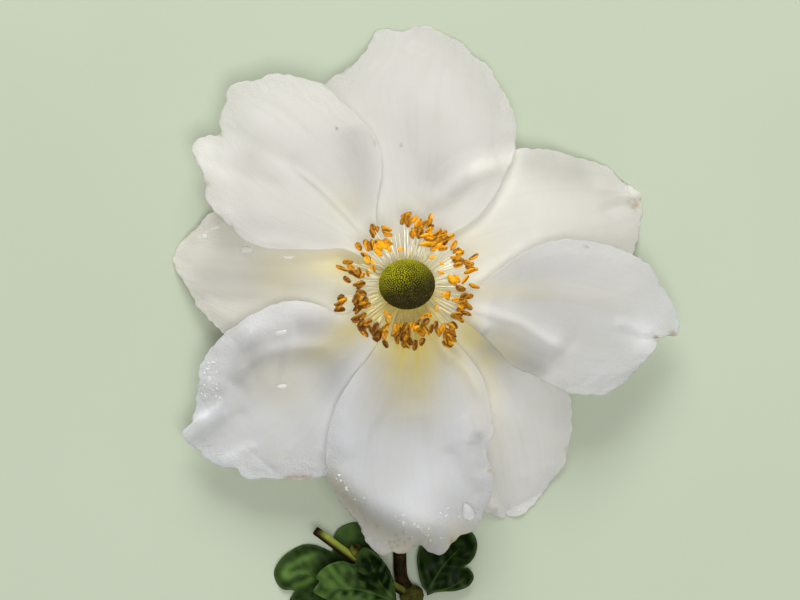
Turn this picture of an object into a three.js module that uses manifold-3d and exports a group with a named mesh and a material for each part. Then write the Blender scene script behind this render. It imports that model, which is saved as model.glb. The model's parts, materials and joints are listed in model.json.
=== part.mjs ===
// A picked Japanese anemone flower, laid face up on a table with its leafy stem along -Y.
// Eight petals overlap in three layers round a button of carpels and a ring of stamens.
// Units are millimetres, +Z is up, and the flower's middle is modelled over x = 0, y = 0.

import * as THREE from 'three';
import { mergeVertices } from 'three/addons/utils/BufferGeometryUtils.js';
import Module from 'manifold-3d';

const wasm = await Module();
wasm.setup();

// Driving dimensions

const BLADE = 0.6; // thickness of petals and leaves
const CLEAR = 0.35; // air between neighbours that touch on the real flower
const PETAL_BASE_Z = 9.2; // middle of the lowest petals where they join the receptacle
const LAYER = 1.05; // step from one layer of petals to the next
const DRAPE = { inside: 1.2, outside: 5 }; // how far beyond an upper petal's edge the lower one yields
const PETAL_GRID = { across: 14, along: 11 };
const CAMBER_REACH = 12; // distance from a petal's axis where its camber counts in full

const NECK = { radius: 2.45, bottom: 8.7, top: 12.0, pinRadius: 1.5, pinTop: 13.9 };
const COLLAR = { inner: NECK.pinRadius + CLEAR, outer: 3.2, bottom: 12.2, top: 13.7, rows: 2 };
const BUTTON = {
  radiusX: 3.62,
  radiusY: 3.22,
  bottom: 14.2,
  height: 4.6,
  underAngle: -58, // latitude where the rounded underside ends, in degrees
  around: 52,
  rings: 12,
  bump: 0.16,
};
const STAMEN = {
  count: 68,
  reach: [5.3, 9.7],
  tipZ: [17.2, 14.4],
  elbowRadius: 4.4,
  elbowZ: [13.6, 14.0],
  filament: 0.2,
  antherLength: 1.7,
  antherWidth: 0.8,
  sides: 3,
};
const STALK = { radius: 0.85, main: 1.3, side: 0.62, cutY: -84 };
const LEAF_NODE = { at: [0.7, -43.9, 1.35], size: [1.75, 1.55, 1.3] };

const WHITE = { color: 0xe4e5e2, roughness: 0.55, metalness: 0 };
const BUTTON_GREEN = { color: 0x7c7f1c, roughness: 0.7, metalness: 0 };
const ANTHER_ORANGE = { color: 0xd98f1c, roughness: 0.65, metalness: 0 };
const STEM_GREEN = { color: 0x4f6a2c, roughness: 0.6, metalness: 0 };
const LEAF_GREEN = { color: 0x2f5323, roughness: 0.5, metalness: 0 };

// Small mathematics

const clamp01 = (t) => Math.min(1, Math.max(0, t));
const smooth = (t) => clamp01(t) ** 2 * (3 - 2 * clamp01(t));
const mix = (a, b, t) => a + (b - a) * t;
const radians = (degrees) => (degrees * Math.PI) / 180;

// A repeatable random number from 0 to 1 for each call
function seeded(seed) {
  let state = seed;
  return () => {
    state = (state * 1664525 + 1013904223) % 4294967296;
    return state / 4294967296;
  };
}

// The value at x of a smooth curve through [x, value] stations
function stations(list, x) {
  const last = list.length - 1;
  if (x <= list[0][0]) return list[0][1];
  if (x >= list[last][0]) return list[last][1];
  const i = list.findIndex((station) => station[0] > x) - 1;
  const slope = (a, b) => (list[b][1] - list[a][1]) / (list[b][0] - list[a][0]);
  const step = list[i + 1][0] - list[i][0];
  const t = (x - list[i][0]) / step;
  const start = slope(Math.max(0, i - 1), i + 1) * step;
  const end = slope(i, Math.min(last, i + 2)) * step;
  const rise = list[i + 1][1] - list[i][1];
  return list[i][1] + t * start + t * t * (3 * rise - 2 * start - end) + t ** 3 * (start + end - 2 * rise);
}

function distanceToSegment(x, y, a, b) {
  const [dx, dy] = [b[0] - a[0], b[1] - a[1]];
  const t = clamp01(((x - a[0]) * dx + (y - a[1]) * dy) / (dx * dx + dy * dy));
  return Math.hypot(x - a[0] - t * dx, y - a[1] - t * dy);
}

// Distance from an outline, negative inside it
function signedDistance(outline, x, y) {
  let nearest = Infinity;
  let inside = false;
  outline.forEach((b, i) => {
    const a = outline[(i + outline.length - 1) % outline.length];
    nearest = Math.min(nearest, distanceToSegment(x, y, a, b));
    const crosses = a[1] > y !== b[1] > y;
    if (crosses && x < a[0] + ((y - a[1]) / (b[1] - a[1])) * (b[0] - a[0])) inside = !inside;
  });
  return inside ? -nearest : nearest;
}

// A fold is a soft ridge, or a furrow where its height is negative, along a line on the petal.
// It fades out towards both ends of its line.
function foldHeight(fold, x, y) {
  let best = { distance: Infinity, along: 0 };
  const pieces = fold.line.length - 1;
  for (let i = 0; i < pieces; i += 1) {
    const [a, b] = [fold.line[i], fold.line[i + 1]];
    const [dx, dy] = [b[0] - a[0], b[1] - a[1]];
    const t = clamp01(((x - a[0]) * dx + (y - a[1]) * dy) / (dx * dx + dy * dy));
    const distance = Math.hypot(x - a[0] - t * dx, y - a[1] - t * dy);
    if (distance < best.distance) best = { distance, along: (i + t) / pieces };
  }
  const fade = smooth(Math.min(best.along, 1 - best.along) * 4 + 0.25);
  return fold.height * fade * Math.exp(-((best.distance / fold.width) ** 2));
}

// Petals: edges run from the receptacle outwards, the left one is the anticlockwise side seen from
// above, and the tip margin joins them from left to right. The profile gives the height of the
// petal's middle above its base for each distance from the flower's middle. The camber lifts its
// long edges, or lowers them where it is negative.

const PETALS = {
  petal_top: {
    level: 1,
    axis: 88,
    camber: -0.5,
    profile: [[3, 0], [10, 0.4], [20, -0.9], [29, -4.9], [36.5, -10.0]],
    left: [[-0.9, 2.9], [-2.9, 6], [-4.6, 9], [-7.6, 15], [-10.6, 21.5], [-11.9, 27.4], [-10, 29.4], [-8.6, 29.9],
      [-7.2, 31.2], [-5.7, 33.2], [-4.8, 35]],
    tip: [[-4.8, 35], [-4.1, 36], [-3.1, 36.3], [-0.6, 35.8], [1.5, 36.6], [3.6, 36.4], [5.3, 35.4],
      [7.9, 34], [9.4, 32.3], [11, 31.3]],
    right: [[1.3, 2.8], [4.6, 6.3], [7.4, 7.7], [10.2, 9.8], [11.9, 12], [13.7, 15.4], [15, 18.8],
      [15.2, 23], [14.5, 25.1], [12.2, 29.4], [11, 31.3]],
    folds: [
      { height: 0.8, width: 1.8, line: [[12.6, 18.1], [10.2, 17.1], [7.4, 15.8], [4.6, 13.7], [1.8, 10.9]] },
    ],
  },
  petal_upper_left: {
    level: 2,
    axis: 137,
    camber: 0.2,
    profile: [[3, 0], [10, 0.5], [20, 0.1], [29, -2.2], [36, -4.8]],
    left: [[-2.6, 1.8], [-8.7, 4.9], [-11.9, 4.8], [-16.7, 4.9], [-19.4, 5], [-21, 5.7], [-22.6, 6.4],
      [-23.9, 7.6], [-26.7, 10.4], [-27.9, 12.3], [-27.9, 13.9], [-28.9, 16.9]],
    tip: [[-28.9, 16.9], [-29.8, 18.8], [-29.3, 20.2], [-26.9, 20.7], [-25.8, 21.2], [-26.1, 22.6],
      [-25.5, 24.3], [-24.9, 27.1], [-24.4, 27.8], [-20.7, 28.5], [-19.3, 29.2]],
    right: [[-0.6, 3.0], [-4.2, 8.5], [-4.1, 11.8], [-3.5, 15.7], [-3.9, 18.9], [-5.3, 21.7], [-8, 24.3],
      [-11.8, 27.7], [-13.7, 28.4], [-17.2, 29.2], [-19.3, 29.2]],
    folds: [
      { height: -0.8, width: 1.8, line: [[-17.5, 17.6], [-15, 15.8], [-12.2, 13.3], [-8.7, 10.1], [-6.3, 8]] },
      { height: -0.6, width: 1.3, line: [[-26, 21.3], [-20, 19], [-15, 16.1]] },
    ],
  },
  petal_upper_right: {
    level: 0,
    axis: 24,
    camber: -0.3,
    profile: [[3, 0], [10, 0.2], [20, -1.6], [28, -5.0], [34, -8.9]],
    left: [[1.4, 2.9], [1.6, 7], [1.9, 10.5], [4.6, 13.7], [10.2, 17.1], [15, 18.8], [20.3, 18.8],
      [24.1, 17.8], [28, 16.7], [30.6, 14.7]],
    tip: [[30.6, 14.7], [33.1, 12.8], [32.9, 12.0], [33.3, 11.6], [33.2, 9.8], [32.5, 6], [31.9, 4.1]],
    right: [[3.2, 0.3], [6, -1.5], [9, -2.1], [17, -2.5], [25, -1.4], [30, 1.2], [31.9, 4.1]],
    folds: [],
  },
  petal_right: {
    level: 2,
    axis: -8,
    camber: -0.4,
    profile: [[3, 0], [10, 0.5], [20, 0.4], [29, -1.6], [38, -4.8]],
    left: [[3.1, -0.3], [8.8, -0.7], [12.1, 1.5], [14.9, 3.6], [18.6, 5.5], [22.4, 6.2], [26.7, 5.6],
      [30.5, 4.5], [33.5, 2.8], [34.6, 1.3]],
    tip: [[34.6, 1.3], [35.7, -0.4], [37.1, -2.8], [37.7, -4.2], [37.8, -6.9], [36.3, -7.1], [34.4, -7.4],
      [34.9, -8.1], [34, -9.5], [31.4, -12.2]],
    right: [[2.8, -1.6], [8.8, -5.6], [12.1, -8.6], [14.9, -11.3], [17.5, -12.5], [21.1, -14.3],
      [22.7, -15.1], [25.2, -15.3], [27.6, -15], [30.4, -13.4], [31.4, -12.2]],
    folds: [
      { height: 1.1, width: 2.2, line: [[11.5, -2.8], [14.8, -4.3], [17.8, -5.6], [19.9, -7.1], [21.8, -9.1]] },
      { height: 0.5, width: 0.9, line: [[8.3, -4.6], [9.8, -5.6], [10.9, -6.7]] },
    ],
  },
  petal_lower_right: {
    level: 0,
    axis: -57,
    camber: -0.2,
    profile: [[3, 0], [10, 0.2], [20, -1.5], [28, -4.9], [35, -8.9]],
    left: [[2.9, -1.4], [9, -4], [15, -7], [20, -11], [22.7, -15.1], [23.1, -19.2], [22.8, -22.4],
      [22.2, -25.4], [21.1, -26.8]],
    tip: [[21.1, -26.8], [19.8, -28.6], [18.6, -30.3], [16.4, -32.4], [14.6, -32.7], [14, -32.3],
      [13.7, -32.9], [11.6, -32.1], [10.6, -31.8]],
    right: [[1.2, -3], [3.2, -9], [4.8, -15], [6.5, -22], [8.5, -28], [10.6, -31.8]],
    folds: [],
  },
  petal_bottom: {
    level: 2,
    axis: -90,
    camber: -0.5,
    profile: [[3, 0], [10, 0.0], [18, 0.6], [27, 1.0], [33, -1.0], [38, -4.0]],
    left: [[1.6, -2.7], [5.3, -6.3], [8.8, -10.5], [10.4, -12.9], [11.3, -16.1], [11.8, -20.9], [11.2, -21.7],
      [10.9, -23.1], [11.8, -26.6], [11.6, -29.1], [10.4, -31.9], [9.4, -34.3]],
    tip: [[9.4, -34.3], [8, -34.4], [6.2, -35.9], [5.5, -37.2], [3.7, -37.4], [1.8, -36.2], [-0.4, -37.3],
      [-2.5, -37.2], [-3.4, -37.6], [-5.4, -35.9], [-6, -34.7]],
    right: [[-1.3, -2.9], [-4.5, -9], [-7.6, -13.1], [-9.9, -17.2], [-11, -22.7], [-10.8, -26.3],
      [-9.5, -29.3], [-8.9, -30.3], [-6.8, -33], [-6, -34.7]],
    folds: [
      { height: -0.9, width: 3, line: [[-0.2, -6], [0, -9], [0.3, -13], [0.6, -18]] },
      { height: 0.7, width: 1, line: [[4.2, -6.6], [4.9, -8.6], [6.4, -10.6]] },
      { height: -0.5, width: 1.2, line: [[9.8, -20], [10.2, -23], [10.6, -26.5]] },
    ],
  },
  petal_lower_left: {
    level: 1,
    axis: -142,
    camber: -0.3,
    profile: [[3, 0], [10, 0.5], [20, -0.2], [30, -2.8], [37.5, -5.4]],
    left: [[-1.9, -2.4], [-2.4, -6], [-3.6, -9], [-6, -15], [-8.2, -22], [-10.9, -26.2], [-13.9, -27], [-20.3, -27],
      [-22.5, -26.9]],
    tip: [[-22.5, -26.9], [-24.2, -25.6], [-26, -25.4], [-28.7, -23.6], [-31.2, -21.2], [-31.3, -20.5],
      [-30.2, -19.5], [-29.6, -18], [-29, -14.3], [-28.9, -12.1]],
    right: [[-2.9, -0.7], [-8.7, -4.3], [-11.8, -3], [-15.3, -2.3], [-18.9, -3], [-22.5, -4.9], [-25.3, -6.9],
      [-27.8, -9.8], [-28.9, -12.1]],
    folds: [
      { height: 1, width: 2, line: [[-10, -4.8], [-15.3, -4], [-20, -5.4], [-24, -8]] },
      { height: -0.8, width: 2.6, line: [[-22.5, -8.6], [-19.5, -9.6], [-16.5, -10.6]] },
      { height: 0.9, width: 1.6, line: [[-32, -20.8], [-28.4, -18.6], [-25.2, -16.8]] },
    ],
  },
  petal_left: {
    level: 0,
    axis: 176,
    camber: -0.3,
    profile: [[3, 0], [10, 0.2], [20, -1.8], [27, -5.2], [33, -8.9]],
    left: [[-3, -0.6], [-6, -3.6], [-9, -5.6], [-15, -7.6], [-22, -8.2], [-25.4, -6.8], [-28, -4.5], [-29.4, -3.1]],
    tip: [[-29.4, -3.1], [-30.8, -0.4], [-32.5, 1.9], [-32.9, 3.4], [-32.3, 5.5], [-29.8, 7.7]],
    right: [[-2.8, 1.3], [-8, 7], [-15, 9.5], [-22, 11], [-26.7, 10.4], [-28.7, 9.2], [-29.8, 7.7]],
    folds: [],
  },
};

// Which petals each one lies under
const UNDER = {
  petal_top: ['petal_upper_left'],
  petal_upper_right: ['petal_top', 'petal_right'],
  petal_lower_right: ['petal_right', 'petal_bottom'],
  petal_lower_left: ['petal_bottom'],
  petal_left: ['petal_upper_left', 'petal_lower_left'],
};

// Leaves: an outline that starts and ends at the leaf's base, and the height of its middle above the
// table along the way from the base to the tips.
const LEAVES = {
  leaf_right: {
    base: [2.9, -43.6],
    outline: [[2.9, -43.4], [2.2, -42.4], [1.7, -40.4], [1.6, -38.0], [2.5, -36.2], [5.0, -35.4],
      [7.9, -34.8], [9.3, -35.2], [9.9, -36.6], [9.6, -38.2], [8.9, -39.2], [8.0, -39.9], [8.8, -40.2], [9.4, -41.2],
      [8.8, -42.4], [6.9, -43.1], [4.6, -43.2], [2.9, -43.8]],
    profile: [[0, 1.3], [4, 1.7], [9, 0.7]],
    ribs: [[7.6, -37.2], [8.3, -41.4]],
  },
  leaf_front_left: {
    base: [-1.5, -44.6],
    outline: [[-1.5, -44.3], [-1.8, -42.2], [-2.5, -40.0], [-3.5, -38.6], [-4.7, -37.4], [-6.1, -36.9],
      [-6.9, -38.0], [-7.3, -39.2], [-9.1, -38.8], [-10.7, -39.2], [-12.0, -40.1], [-12.7, -41.2],
      [-12.2, -41.6], [-12.9, -42.6], [-13.1, -43.2], [-12.0, -43.8], [-11.0, -44.4], [-11.4, -45.8],
      [-10.4, -47.6], [-8.6, -48.9], [-6.6, -49.0], [-5.6, -48.2], [-3.6, -47.2], [-1.5, -44.9]],
    profile: [[0, 2.9], [2.5, 3.8], [6, 4.3], [12, 3.4]],
    ribs: [[-5.2, -38.6], [-11.4, -42.4], [-8.4, -47.2]],
  },
  leaf_back_left: {
    base: [-1.6, -45.2],
    outline: [[-1.6, -44.9], [-3.0, -41], [-4.5, -37.5], [-5.6, -34.8], [-6.9, -33.7], [-8.4, -33.9],
      [-9.8, -34.8], [-10.4, -36.2], [-10.5, -37.8], [-11.6, -37.4], [-12.9, -36.9], [-14.5, -36.8],
      [-16.3, -37.6], [-17.9, -39], [-18.7, -40.6], [-18.4, -42], [-17.5, -43], [-15.8, -43.2],
      [-16.5, -44.6], [-16.6, -46.4], [-15.2, -48.2], [-12.8, -49.4], [-10.4, -49.6], [-6.2, -48.2],
      [-3.2, -46.6], [-1.6, -45.5]],
    profile: [[0, 0.75], [8, 0.5], [17, 0.35]],
    ribs: [[-7.9, -36.4], [-16.6, -40.6], [-13.2, -47.2]],
  },
};
const LEAF_GRID = { around: 40, rings: 4 };
const LEAF_FURROW = { depth: 0.35, width: 0.9, start: 3 };

// Blades

// A closed sheet of even thickness over a grid of middle points. Both faces are split along the
// same diagonals, so that a waved sheet never crosses itself.
function bladeGeometry(rows, thickness, closedFan = false) {
  const [count, width] = [rows.length, rows[0].length];
  const at = (j, i) => rows[Math.min(count - 1, Math.max(0, j))][Math.min(width - 1, Math.max(0, i))];
  const lift = (j, i) => {
    const across = new THREE.Vector3().subVectors(at(j, i + 1), at(j, i - 1));
    const along = new THREE.Vector3().subVectors(at(j + 1, i), at(j - 1, i));
    const normal = across.cross(along).normalize();
    return normal.z < 0 ? normal.negate() : normal;
  };
  const positions = [];
  for (const side of [0.5, -0.5]) {
    for (let j = 0; j < count; j += 1) {
      for (let i = 0; i < width; i += 1) {
        const normal = closedFan && j === 0 ? new THREE.Vector3(0, 0, 1) : lift(j, i);
        positions.push(...at(j, i).clone().addScaledVector(normal, side * thickness).toArray());
      }
    }
  }
  const bottom = count * width;
  const faces = [];
  const quad = (a, b, c, d) => faces.push(a, b, c, a, c, d);
  for (let j = 0; j + 1 < count; j += 1) {
    for (let i = 0; i + 1 < width; i += 1) {
      const [a, b] = [j * width + i, j * width + i + 1];
      const [c, d] = [b + width, a + width];
      quad(a, b, c, d);
      quad(a + bottom, d + bottom, c + bottom, b + bottom);
      if (j === 0 && !closedFan) quad(a, a + bottom, b + bottom, b);
      if (j === count - 2) quad(d, c, c + bottom, d + bottom);
      if (i === 0) quad(a, d, d + bottom, a + bottom);
      if (i === width - 2) quad(b, b + bottom, c + bottom, c);
    }
  }
  const geometry = new THREE.BufferGeometry();
  geometry.setAttribute('position', new THREE.Float32BufferAttribute(positions, 3));
  geometry.setIndex(faces);
  return welded(geometry);
}

// Merges equal corners, drops flat triangles and turns the faces outwards
function welded(geometry) {
  geometry.deleteAttribute('normal');
  geometry.deleteAttribute('uv');
  const merged = mergeVertices(geometry, 1e-4);
  const index = Array.from(merged.index.array);
  const kept = [];
  for (let i = 0; i < index.length; i += 3) {
    const [a, b, c] = index.slice(i, i + 3);
    if (a !== b && b !== c && c !== a) kept.push(a, b, c);
  }
  const place = merged.getAttribute('position');
  const corner = (i) => new THREE.Vector3().fromBufferAttribute(place, i);
  let volume = 0;
  for (let i = 0; i < kept.length; i += 3) {
    volume += corner(kept[i]).dot(corner(kept[i + 1]).cross(corner(kept[i + 2])));
  }
  if (volume < 0) {
    for (let i = 0; i < kept.length; i += 3) [kept[i], kept[i + 1]] = [kept[i + 1], kept[i]];
  }
  merged.setIndex(kept);
  return merged;
}

const edgeCurve = (points) => {
  const places = points.map(([x, y]) => new THREE.Vector3(x, y, 0));
  const curve = new THREE.CatmullRomCurve3(places, false, 'centripetal');
  curve.arcLengthDivisions = 400;
  return curve;
};

// Petals as heights over the plan

const outlineOf = (petal) => [...petal.left, ...petal.tip.slice(1, -1), ...[...petal.right].reverse()];
for (const petal of Object.values(PETALS)) petal.outline = outlineOf(petal);

function petalHeight(name, x, y) {
  const petal = PETALS[name];
  const reach = Math.hypot(x, y);
  const axis = radians(petal.axis);
  const sideways = (-x * Math.sin(axis) + y * Math.cos(axis)) / CAMBER_REACH;
  let z = PETAL_BASE_Z + petal.level * LAYER + stations(petal.profile, reach);
  z += petal.camber * sideways * sideways;
  for (const fold of petal.folds) z += foldHeight(fold, x, y);
  z = Math.max(z, BLADE / 2);
  for (const upper of UNDER[name] ?? []) {
    const apart = signedDistance(PETALS[upper].outline, x, y);
    const share = 1 - smooth((apart - DRAPE.inside) / (DRAPE.outside - DRAPE.inside));
    if (share > 0) z -= share * Math.max(0, z - petalHeight(upper, x, y) + LAYER);
  }
  return z;
}

function petalGeometry(name) {
  const petal = PETALS[name];
  const [left, right, tip] = [petal.left, petal.right, petal.tip].map(edgeCurve);
  const base = edgeCurve([petal.left[0], petal.right[0]]);
  const corner = [left.getPoint(0), right.getPoint(0), left.getPoint(1), right.getPoint(1)];
  const rows = [];
  for (let j = 0; j <= PETAL_GRID.along; j += 1) {
    const v = j / PETAL_GRID.along;
    const [l, r] = [left.getPointAt(v), right.getPointAt(v)];
    rows.push([]);
    for (let i = 0; i <= PETAL_GRID.across; i += 1) {
      const u = i / PETAL_GRID.across;
      const [b, t] = [base.getPointAt(u), tip.getPointAt(u)];
      const blend = (k) =>
        mix(l[k], r[k], u) + mix(b[k], t[k], v)
        - mix(mix(corner[0][k], corner[1][k], u), mix(corner[2][k], corner[3][k], u), v);
      const [x, y] = [blend('x'), blend('y')];
      rows[j].push(new THREE.Vector3(x, y, petalHeight(name, x, y)));
    }
  }
  return bladeGeometry(rows, BLADE);
}

// Leaves fan out from their base, with a furrow along each rib

function leafGeometry(leaf) {
  const rim = edgeCurve(leaf.outline);
  const rows = [];
  for (let j = 0; j <= LEAF_GRID.rings; j += 1) {
    const t = (j / LEAF_GRID.rings) ** 0.8;
    rows.push([]);
    for (let i = 0; i <= LEAF_GRID.around; i += 1) {
      const edge = rim.getPointAt(i / LEAF_GRID.around);
      const [x, y] = [mix(leaf.base[0], edge.x, t), mix(leaf.base[1], edge.y, t)];
      const reach = Math.hypot(x - leaf.base[0], y - leaf.base[1]);
      const nearest = Math.min(...leaf.ribs.map((tip) => distanceToSegment(x, y, leaf.base, tip)));
      const { depth, width, start } = LEAF_FURROW;
      const furrow = depth * Math.exp(-((nearest / width) ** 2)) * smooth(reach / start);
      const z = Math.max(BLADE / 2, stations(leaf.profile, reach) - furrow);
      rows[j].push(new THREE.Vector3(x, y, z));
    }
  }
  return bladeGeometry(rows, BLADE, true);
}

// Solids that are joined

const solidOf = (geometry) => {
  const clean = welded(geometry);
  return new wasm.Manifold(new wasm.Mesh({
    numProp: 3,
    vertProperties: new Float32Array(clean.getAttribute('position').array),
    triVerts: new Uint32Array(clean.index.array),
  }));
};

function joined(geometries) {
  const mesh = geometries.map(solidOf).reduce((whole, piece) => whole.add(piece)).getMesh();
  const geometry = new THREE.BufferGeometry();
  geometry.setAttribute('position', new THREE.BufferAttribute(new Float32Array(mesh.vertProperties), 3));
  geometry.setIndex(Array.from(mesh.triVerts));
  return welded(geometry);
}

// A round limb along a smooth line, with its radius given from 0 at the start to 1 at the end
function limbGeometry(points, radiusAt, steps, sides) {
  const curve = new THREE.CatmullRomCurve3(points.map((p) => new THREE.Vector3(...p)), false, 'centripetal');
  const frames = curve.computeFrenetFrames(steps, false);
  const positions = [];
  const faces = [];
  for (let j = 0; j <= steps; j += 1) {
    const centre = curve.getPointAt(j / steps);
    for (let i = 0; i < sides; i += 1) {
      const angle = (2 * Math.PI * (i + 0.5)) / sides;
      const rim = centre.clone()
        .addScaledVector(frames.normals[j], radiusAt(j / steps) * Math.cos(angle))
        .addScaledVector(frames.binormals[j], radiusAt(j / steps) * Math.sin(angle));
      positions.push(...rim.toArray());
      const [a, b] = [j * sides + i, j * sides + ((i + 1) % sides)];
      if (j < steps) faces.push(a, b, b + sides, a, b + sides, a + sides);
    }
  }
  for (let i = 1; i + 1 < sides; i += 1) {
    const end = steps * sides;
    faces.push(0, i + 1, i, end, end + i, end + i + 1);
  }
  const geometry = new THREE.BufferGeometry();
  geometry.setAttribute('position', new THREE.Float32BufferAttribute(positions, 3));
  geometry.setIndex(faces);
  return welded(geometry);
}

function stemGeometry() {
  const receptacle = new THREE.LatheGeometry([
    [0, 6.6], [0.9, 6.7], [1.5, 7.5], [NECK.radius, NECK.bottom], [NECK.radius, NECK.top],
    [NECK.pinRadius, NECK.top + 0.15], [NECK.pinRadius, NECK.pinTop], [0, NECK.pinTop],
  ].map(([r, z]) => new THREE.Vector2(r, z)), 16).rotateX(Math.PI / 2);
  const [nodeX, nodeY, nodeZ] = LEAF_NODE.at;
  const flowerStalk = limbGeometry(
    [[0, 0, 7.2], [0, -0.8, 6.0], [-0.05, -3.2, 4.4], [-0.2, -7.5, 2.9], [-0.4, -14, 1.6], [-0.6, -22, 0.95],
      [-0.85, -32, STALK.radius], [-0.95, -38, STALK.radius], [-0.7, -41.5, 1.0],
      [nodeX - 0.2, nodeY + 0.4, nodeZ]],
    (t) => mix(STALK.radius, STALK.radius * 1.1, t), 22, 8,
  );
  const mainStem = limbGeometry(
    [[nodeX, nodeY + 0.6, nodeZ], [nodeX + 0.3, nodeY - 8, STALK.main], [nodeX + 0.3, nodeY - 20, STALK.main],
      [nodeX - 0.2, nodeY - 32, STALK.main], [nodeX - 0.6, STALK.cutY, STALK.main]],
    () => STALK.main, 8, 10,
  );
  const sideStalk = limbGeometry(
    [[nodeX - 0.4, nodeY + 0.2, 1.6], [-3, -41.7, 2.2], [-7.9, -38.2, 2.4], [-12.9, -34.5, 2.9]],
    () => STALK.side, 5, 8,
  );
  const swelling = new THREE.SphereGeometry(1, 10, 7).scale(...LEAF_NODE.size).translate(nodeX, nodeY, nodeZ);
  const bract = new THREE.SphereGeometry(1, 8, 6).scale(1.25, 0.95, 0.45)
    .rotateZ(radians(110)).translate(-7.1, -37.7, 2.65);
  return joined([receptacle, flowerStalk, mainStem, sideStalk, swelling, bract]);
}

// The button: a flattened dome whose carpels stand out as a raised net of studs

function buttonGeometry() {
  const { around, rings, bump, bottom, height } = BUTTON;
  const low = Math.sin(radians(BUTTON.underAngle));
  const rows = [];
  for (let j = 0; j <= rings; j += 1) {
    const turn = radians(mix(BUTTON.underAngle, 90, j / rings));
    rows.push([]);
    for (let i = 0; i < around; i += 1) {
      const angle = (2 * Math.PI * (i + (j % 2) * 0.5)) / around;
      const stud = j > 0 && j < rings - 1 ? bump * (i % 2 === 0 ? 1 : -0.2) : 0;
      const wide = Math.cos(turn) * (1 + stud / BUTTON.radiusX);
      const level = Math.sin(turn) * (1 + stud / BUTTON.radiusX);
      rows[j].push([
        BUTTON.radiusX * wide * Math.cos(angle),
        BUTTON.radiusY * wide * Math.sin(angle),
        bottom + (height * (level - low)) / (1 - low),
      ]);
    }
  }
  const positions = rows.slice(0, rings).flat().flat();
  const apex = positions.length / 3;
  positions.push(0, 0, bottom + height, 0, 0, bottom);
  const faces = [];
  for (let j = 0; j < rings; j += 1) {
    for (let i = 0; i < around; i += 1) {
      const next = (i + 1) % around;
      const [a, b] = [j * around + i, j * around + next];
      const [c, d] = [a + around, b + around];
      if (j === 0) faces.push(b, a, apex + 1);
      if (j === rings - 1) faces.push(a, b, apex);
      else if (j % 2 === 0) faces.push(a, b, c, b, d, c);
      else faces.push(a, b, d, a, d, c);
    }
  }
  const geometry = new THREE.BufferGeometry();
  geometry.setAttribute('position', new THREE.Float32BufferAttribute(positions, 3));
  geometry.setIndex(faces);
  return welded(geometry);
}

// The stamens: thin filaments from a collar on the receptacle, each with a plump anther at its tip

function stamenGeometry() {
  const random = seeded(11);
  const collar = new THREE.LatheGeometry([
    [COLLAR.inner, COLLAR.bottom], [COLLAR.outer, COLLAR.bottom], [COLLAR.outer, COLLAR.top],
    [COLLAR.inner, COLLAR.top], [COLLAR.inner, COLLAR.bottom],
  ].map(([r, z]) => new THREE.Vector2(r, z)), 32).rotateX(Math.PI / 2);
  const pieces = [collar];
  for (let i = 0; i < STAMEN.count; i += 1) {
    const angle = (2 * Math.PI * (i + 0.7 * (random() - 0.5))) / STAMEN.count;
    const share = (i * 0.381966 + 0.25 * random()) % 1;
    const reach = mix(...STAMEN.reach, share ** 0.8);
    const tipZ = mix(...STAMEN.tipZ, share) + 0.6 * (random() - 0.5);
    const polar = (radius, z, turn = 0) =>
      [radius * Math.cos(angle + turn), radius * Math.sin(angle + turn), z];
    const tip = polar(reach, tipZ, 0.12 * (random() - 0.5));
    const row = i % COLLAR.rows;
    const rootZ = mix(COLLAR.bottom, COLLAR.top, (row + 0.5) / COLLAR.rows);
    const filament = [polar(COLLAR.outer - 0.4, rootZ), polar(STAMEN.elbowRadius, STAMEN.elbowZ[row]), tip];
    pieces.push(limbGeometry(filament, () => STAMEN.filament, 2, STAMEN.sides));
    const anther = new THREE.OctahedronGeometry(1, 0);
    anther.scale(STAMEN.antherLength / 2, STAMEN.antherWidth / 2, STAMEN.antherWidth / 2);
    anther.rotateY(-0.5 + 0.6 * random());
    anther.rotateZ(angle + 1.6 * (random() - 0.5));
    anther.translate(...tip);
    pieces.push(anther);
  }
  return joined(pieces);
}

// The whole

const flower = new THREE.Group();

function addNode(name, geometry, finish) {
  const mesh = new THREE.Mesh(geometry, new THREE.MeshStandardMaterial({ ...finish, name }));
  mesh.name = name;
  flower.add(mesh);
}

for (const name of Object.keys(PETALS)) addNode(name, petalGeometry(name), WHITE);
addNode('carpel_button', buttonGeometry(), BUTTON_GREEN);
addNode('stamens', stamenGeometry(), ANTHER_ORANGE);
addNode('stem', stemGeometry(), STEM_GREEN);
for (const [name, leaf] of Object.entries(LEAVES)) addNode(name, leafGeometry(leaf), LEAF_GREEN);

// The origin is the middle of the box's bottom face
const box = new THREE.Box3().setFromObject(flower, true);
const middle = box.getCenter(new THREE.Vector3());
for (const mesh of flower.children) mesh.geometry.translate(-middle.x, -middle.y, -box.min.z);

export default flower;
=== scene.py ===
"""The looks of a picked Japanese anemone flower that lies face up on a pale table.

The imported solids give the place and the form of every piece. Each petal, leaf and stem here follows
the same named dimensions, in millimetres round the flower's middle, and adds what is too fine for
the solids: thin edges, creases, veins, pollen, carpels, stains and dew.
"""

import json
import logging
import math
from dataclasses import dataclass, field
from enum import Enum
from functools import partial
from typing import Sequence

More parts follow.
